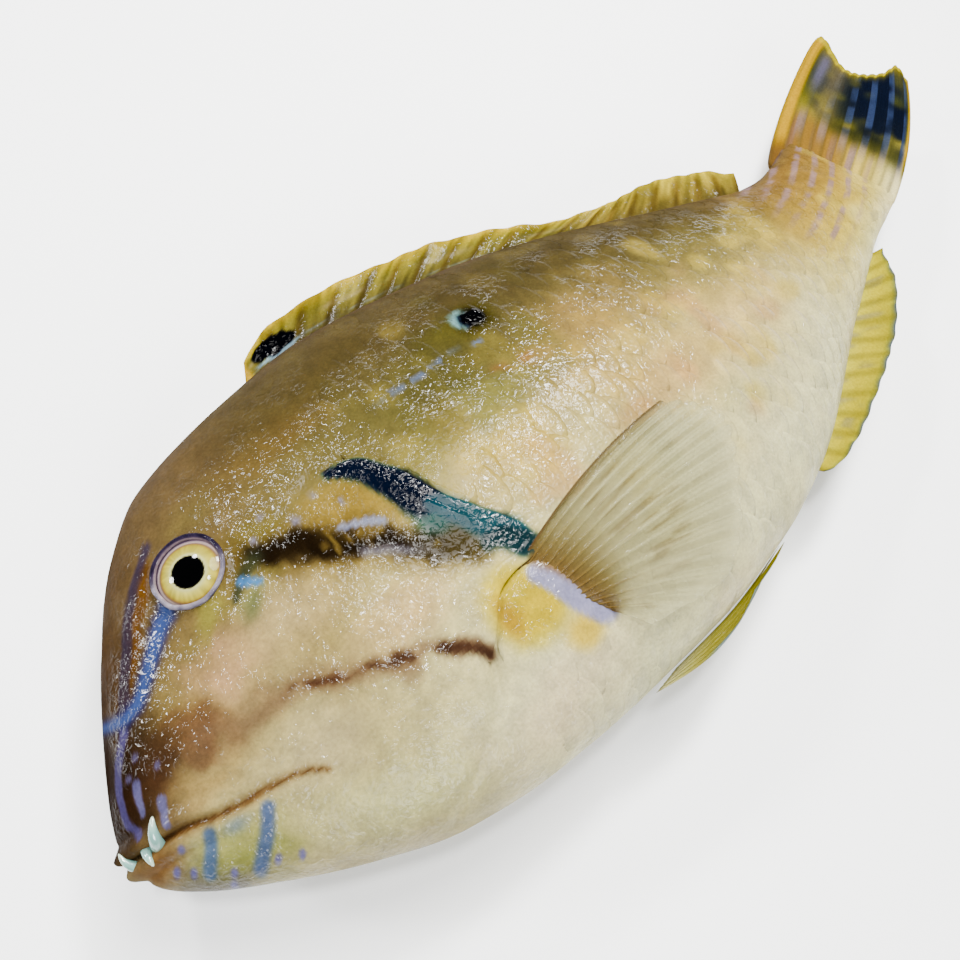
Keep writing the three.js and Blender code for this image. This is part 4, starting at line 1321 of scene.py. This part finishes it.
toothMaterial = newMaterial("blue-green enamel")  # hard gloss, clearer than the slime
toothTint = addNode(toothMaterial, "ShaderNodeAttribute", attribute_name="tint")
finishMaterial(toothMaterial, {
    "Base Color": toothTint.outputs["Color"], "Roughness": 0.2, "Coat Weight": 0.8, "Coat Roughness": 0.05,
})
for index, tooth in enumerate(canines):
    for label, sign in (("left", 1), ("right", -1)):
        bm = bmesh.new()
        bmesh.ops.create_uvsphere(bm, u_segments=24, v_segments=28, radius=1)
        piece = addPiece(f"canine_{index}_{label}", bm, toothPlace(tooth, sign), toothMaterial)
        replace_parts(piece, tooth["jaw"])

print("stage")
bm = bmesh.new()
bmesh.ops.create_grid(bm, x_segments=1, y_segments=1, size=6)
floorMesh = bpy.data.meshes.new("floor")
bm.to_mesh(floorMesh)
bm.free()
floor = bpy.data.objects.new("floor", floorMesh)
scene.collection.objects.link(floor)
floorMaterial = newMaterial("pale matt table")  # a plain ground that takes soft shadows
finishMaterial(floorMaterial, {"Base Color": (*linear("#f4f5f5"), 1), "Roughness": 0.8})
floorMesh.materials.append(floorMaterial)

# two soft lights, and four small ones whose reflections are the glints on the slime
lamps = {
    "key": {"toward": (0.3, 0.25, 0.9), "distance": 0.9, "size": 0.42, "power": 15, "color": "#fffdf8"},
    "fill": {"toward": (-0.4, -0.85, 0.6), "distance": 1.1, "size": 0.55, "power": 18, "color": "#ffffff"},
    "flank glint": {
        "toward": (0.52, 0.3, 0.78), "distance": 0.9, "size": 0.17, "power": 17, "color": "#ffffff",
    },
    "cheek glint": {
        "toward": (-0.1, 0.05, 0.99), "distance": 0.9, "size": 0.11, "power": 7, "color": "#ffffff",
    },
    "nape glint": {
        "toward": (-0.08, 0.72, 0.66), "distance": 0.9, "size": 0.1, "power": 6, "color": "#ffffff",
    },
    "snout glint": {
        "toward": (-0.65, 0.6, 0.45), "distance": 0.9, "size": 0.11, "power": 6, "color": "#ffffff",
    },
}
for name, lamp in lamps.items():
    light = bpy.data.lights.new(name, "AREA")
    light.shape = "DISK"
    light.size = lamp["size"]
    light.energy = lamp["power"]
    light.color = linear(lamp["color"])
    lampObject = bpy.data.objects.new(name, light)
    toward = Vector(lamp["toward"]).normalized()
    lampObject.location = Vector((-0.05, 0, 0.03)) + toward * lamp["distance"]
    lampObject.rotation_euler = toward.to_track_quat("Z", "Y").to_euler()
    scene.collection.objects.link(lampObject)

world = bpy.data.worlds.new("soft room")
world.use_nodes = True
world.node_tree.nodes["Background"].inputs["Color"].default_value = (*linear("#eef2f6"), 1)
world.node_tree.nodes["Background"].inputs["Strength"].default_value = 0.13
scene.world = world

# the photographer stands on the belly side, near the head, and looks down
shot = {
    "azimuth": math.radians(-56.04), "elevation": math.radians(64.5), "roll": math.radians(14.35),
    "distance": 0.26347, "target": (-0.06986, -0.00109, 0.03), "lens": 31.09,
}
turn, rise, lean = shot["azimuth"], shot["elevation"], shot["roll"]
away = Vector((math.sin(turn) * math.cos(rise), -math.cos(turn) * math.cos(rise), math.sin(rise)))
right = (-away).cross(Vector((0, 0, 1))).normalized()
up = right.cross(-away)
cameraRight = right * math.cos(lean) + up * math.sin(lean)
cameraUp = up * math.cos(lean) - right * math.sin(lean)
pose = Matrix((cameraRight, cameraUp, away)).transposed().to_4x4()
pose.translation = Vector(shot["target"]) + away * shot["distance"]
cameraData = bpy.data.cameras.new("camera")
cameraData.lens = shot["lens"]
cameraData.sensor_width = 36
cameraData.clip_start = 0.01
camera = bpy.data.objects.new("camera", cameraData)
camera.matrix_world = pose
scene.collection.objects.link(camera)
scene.camera = camera
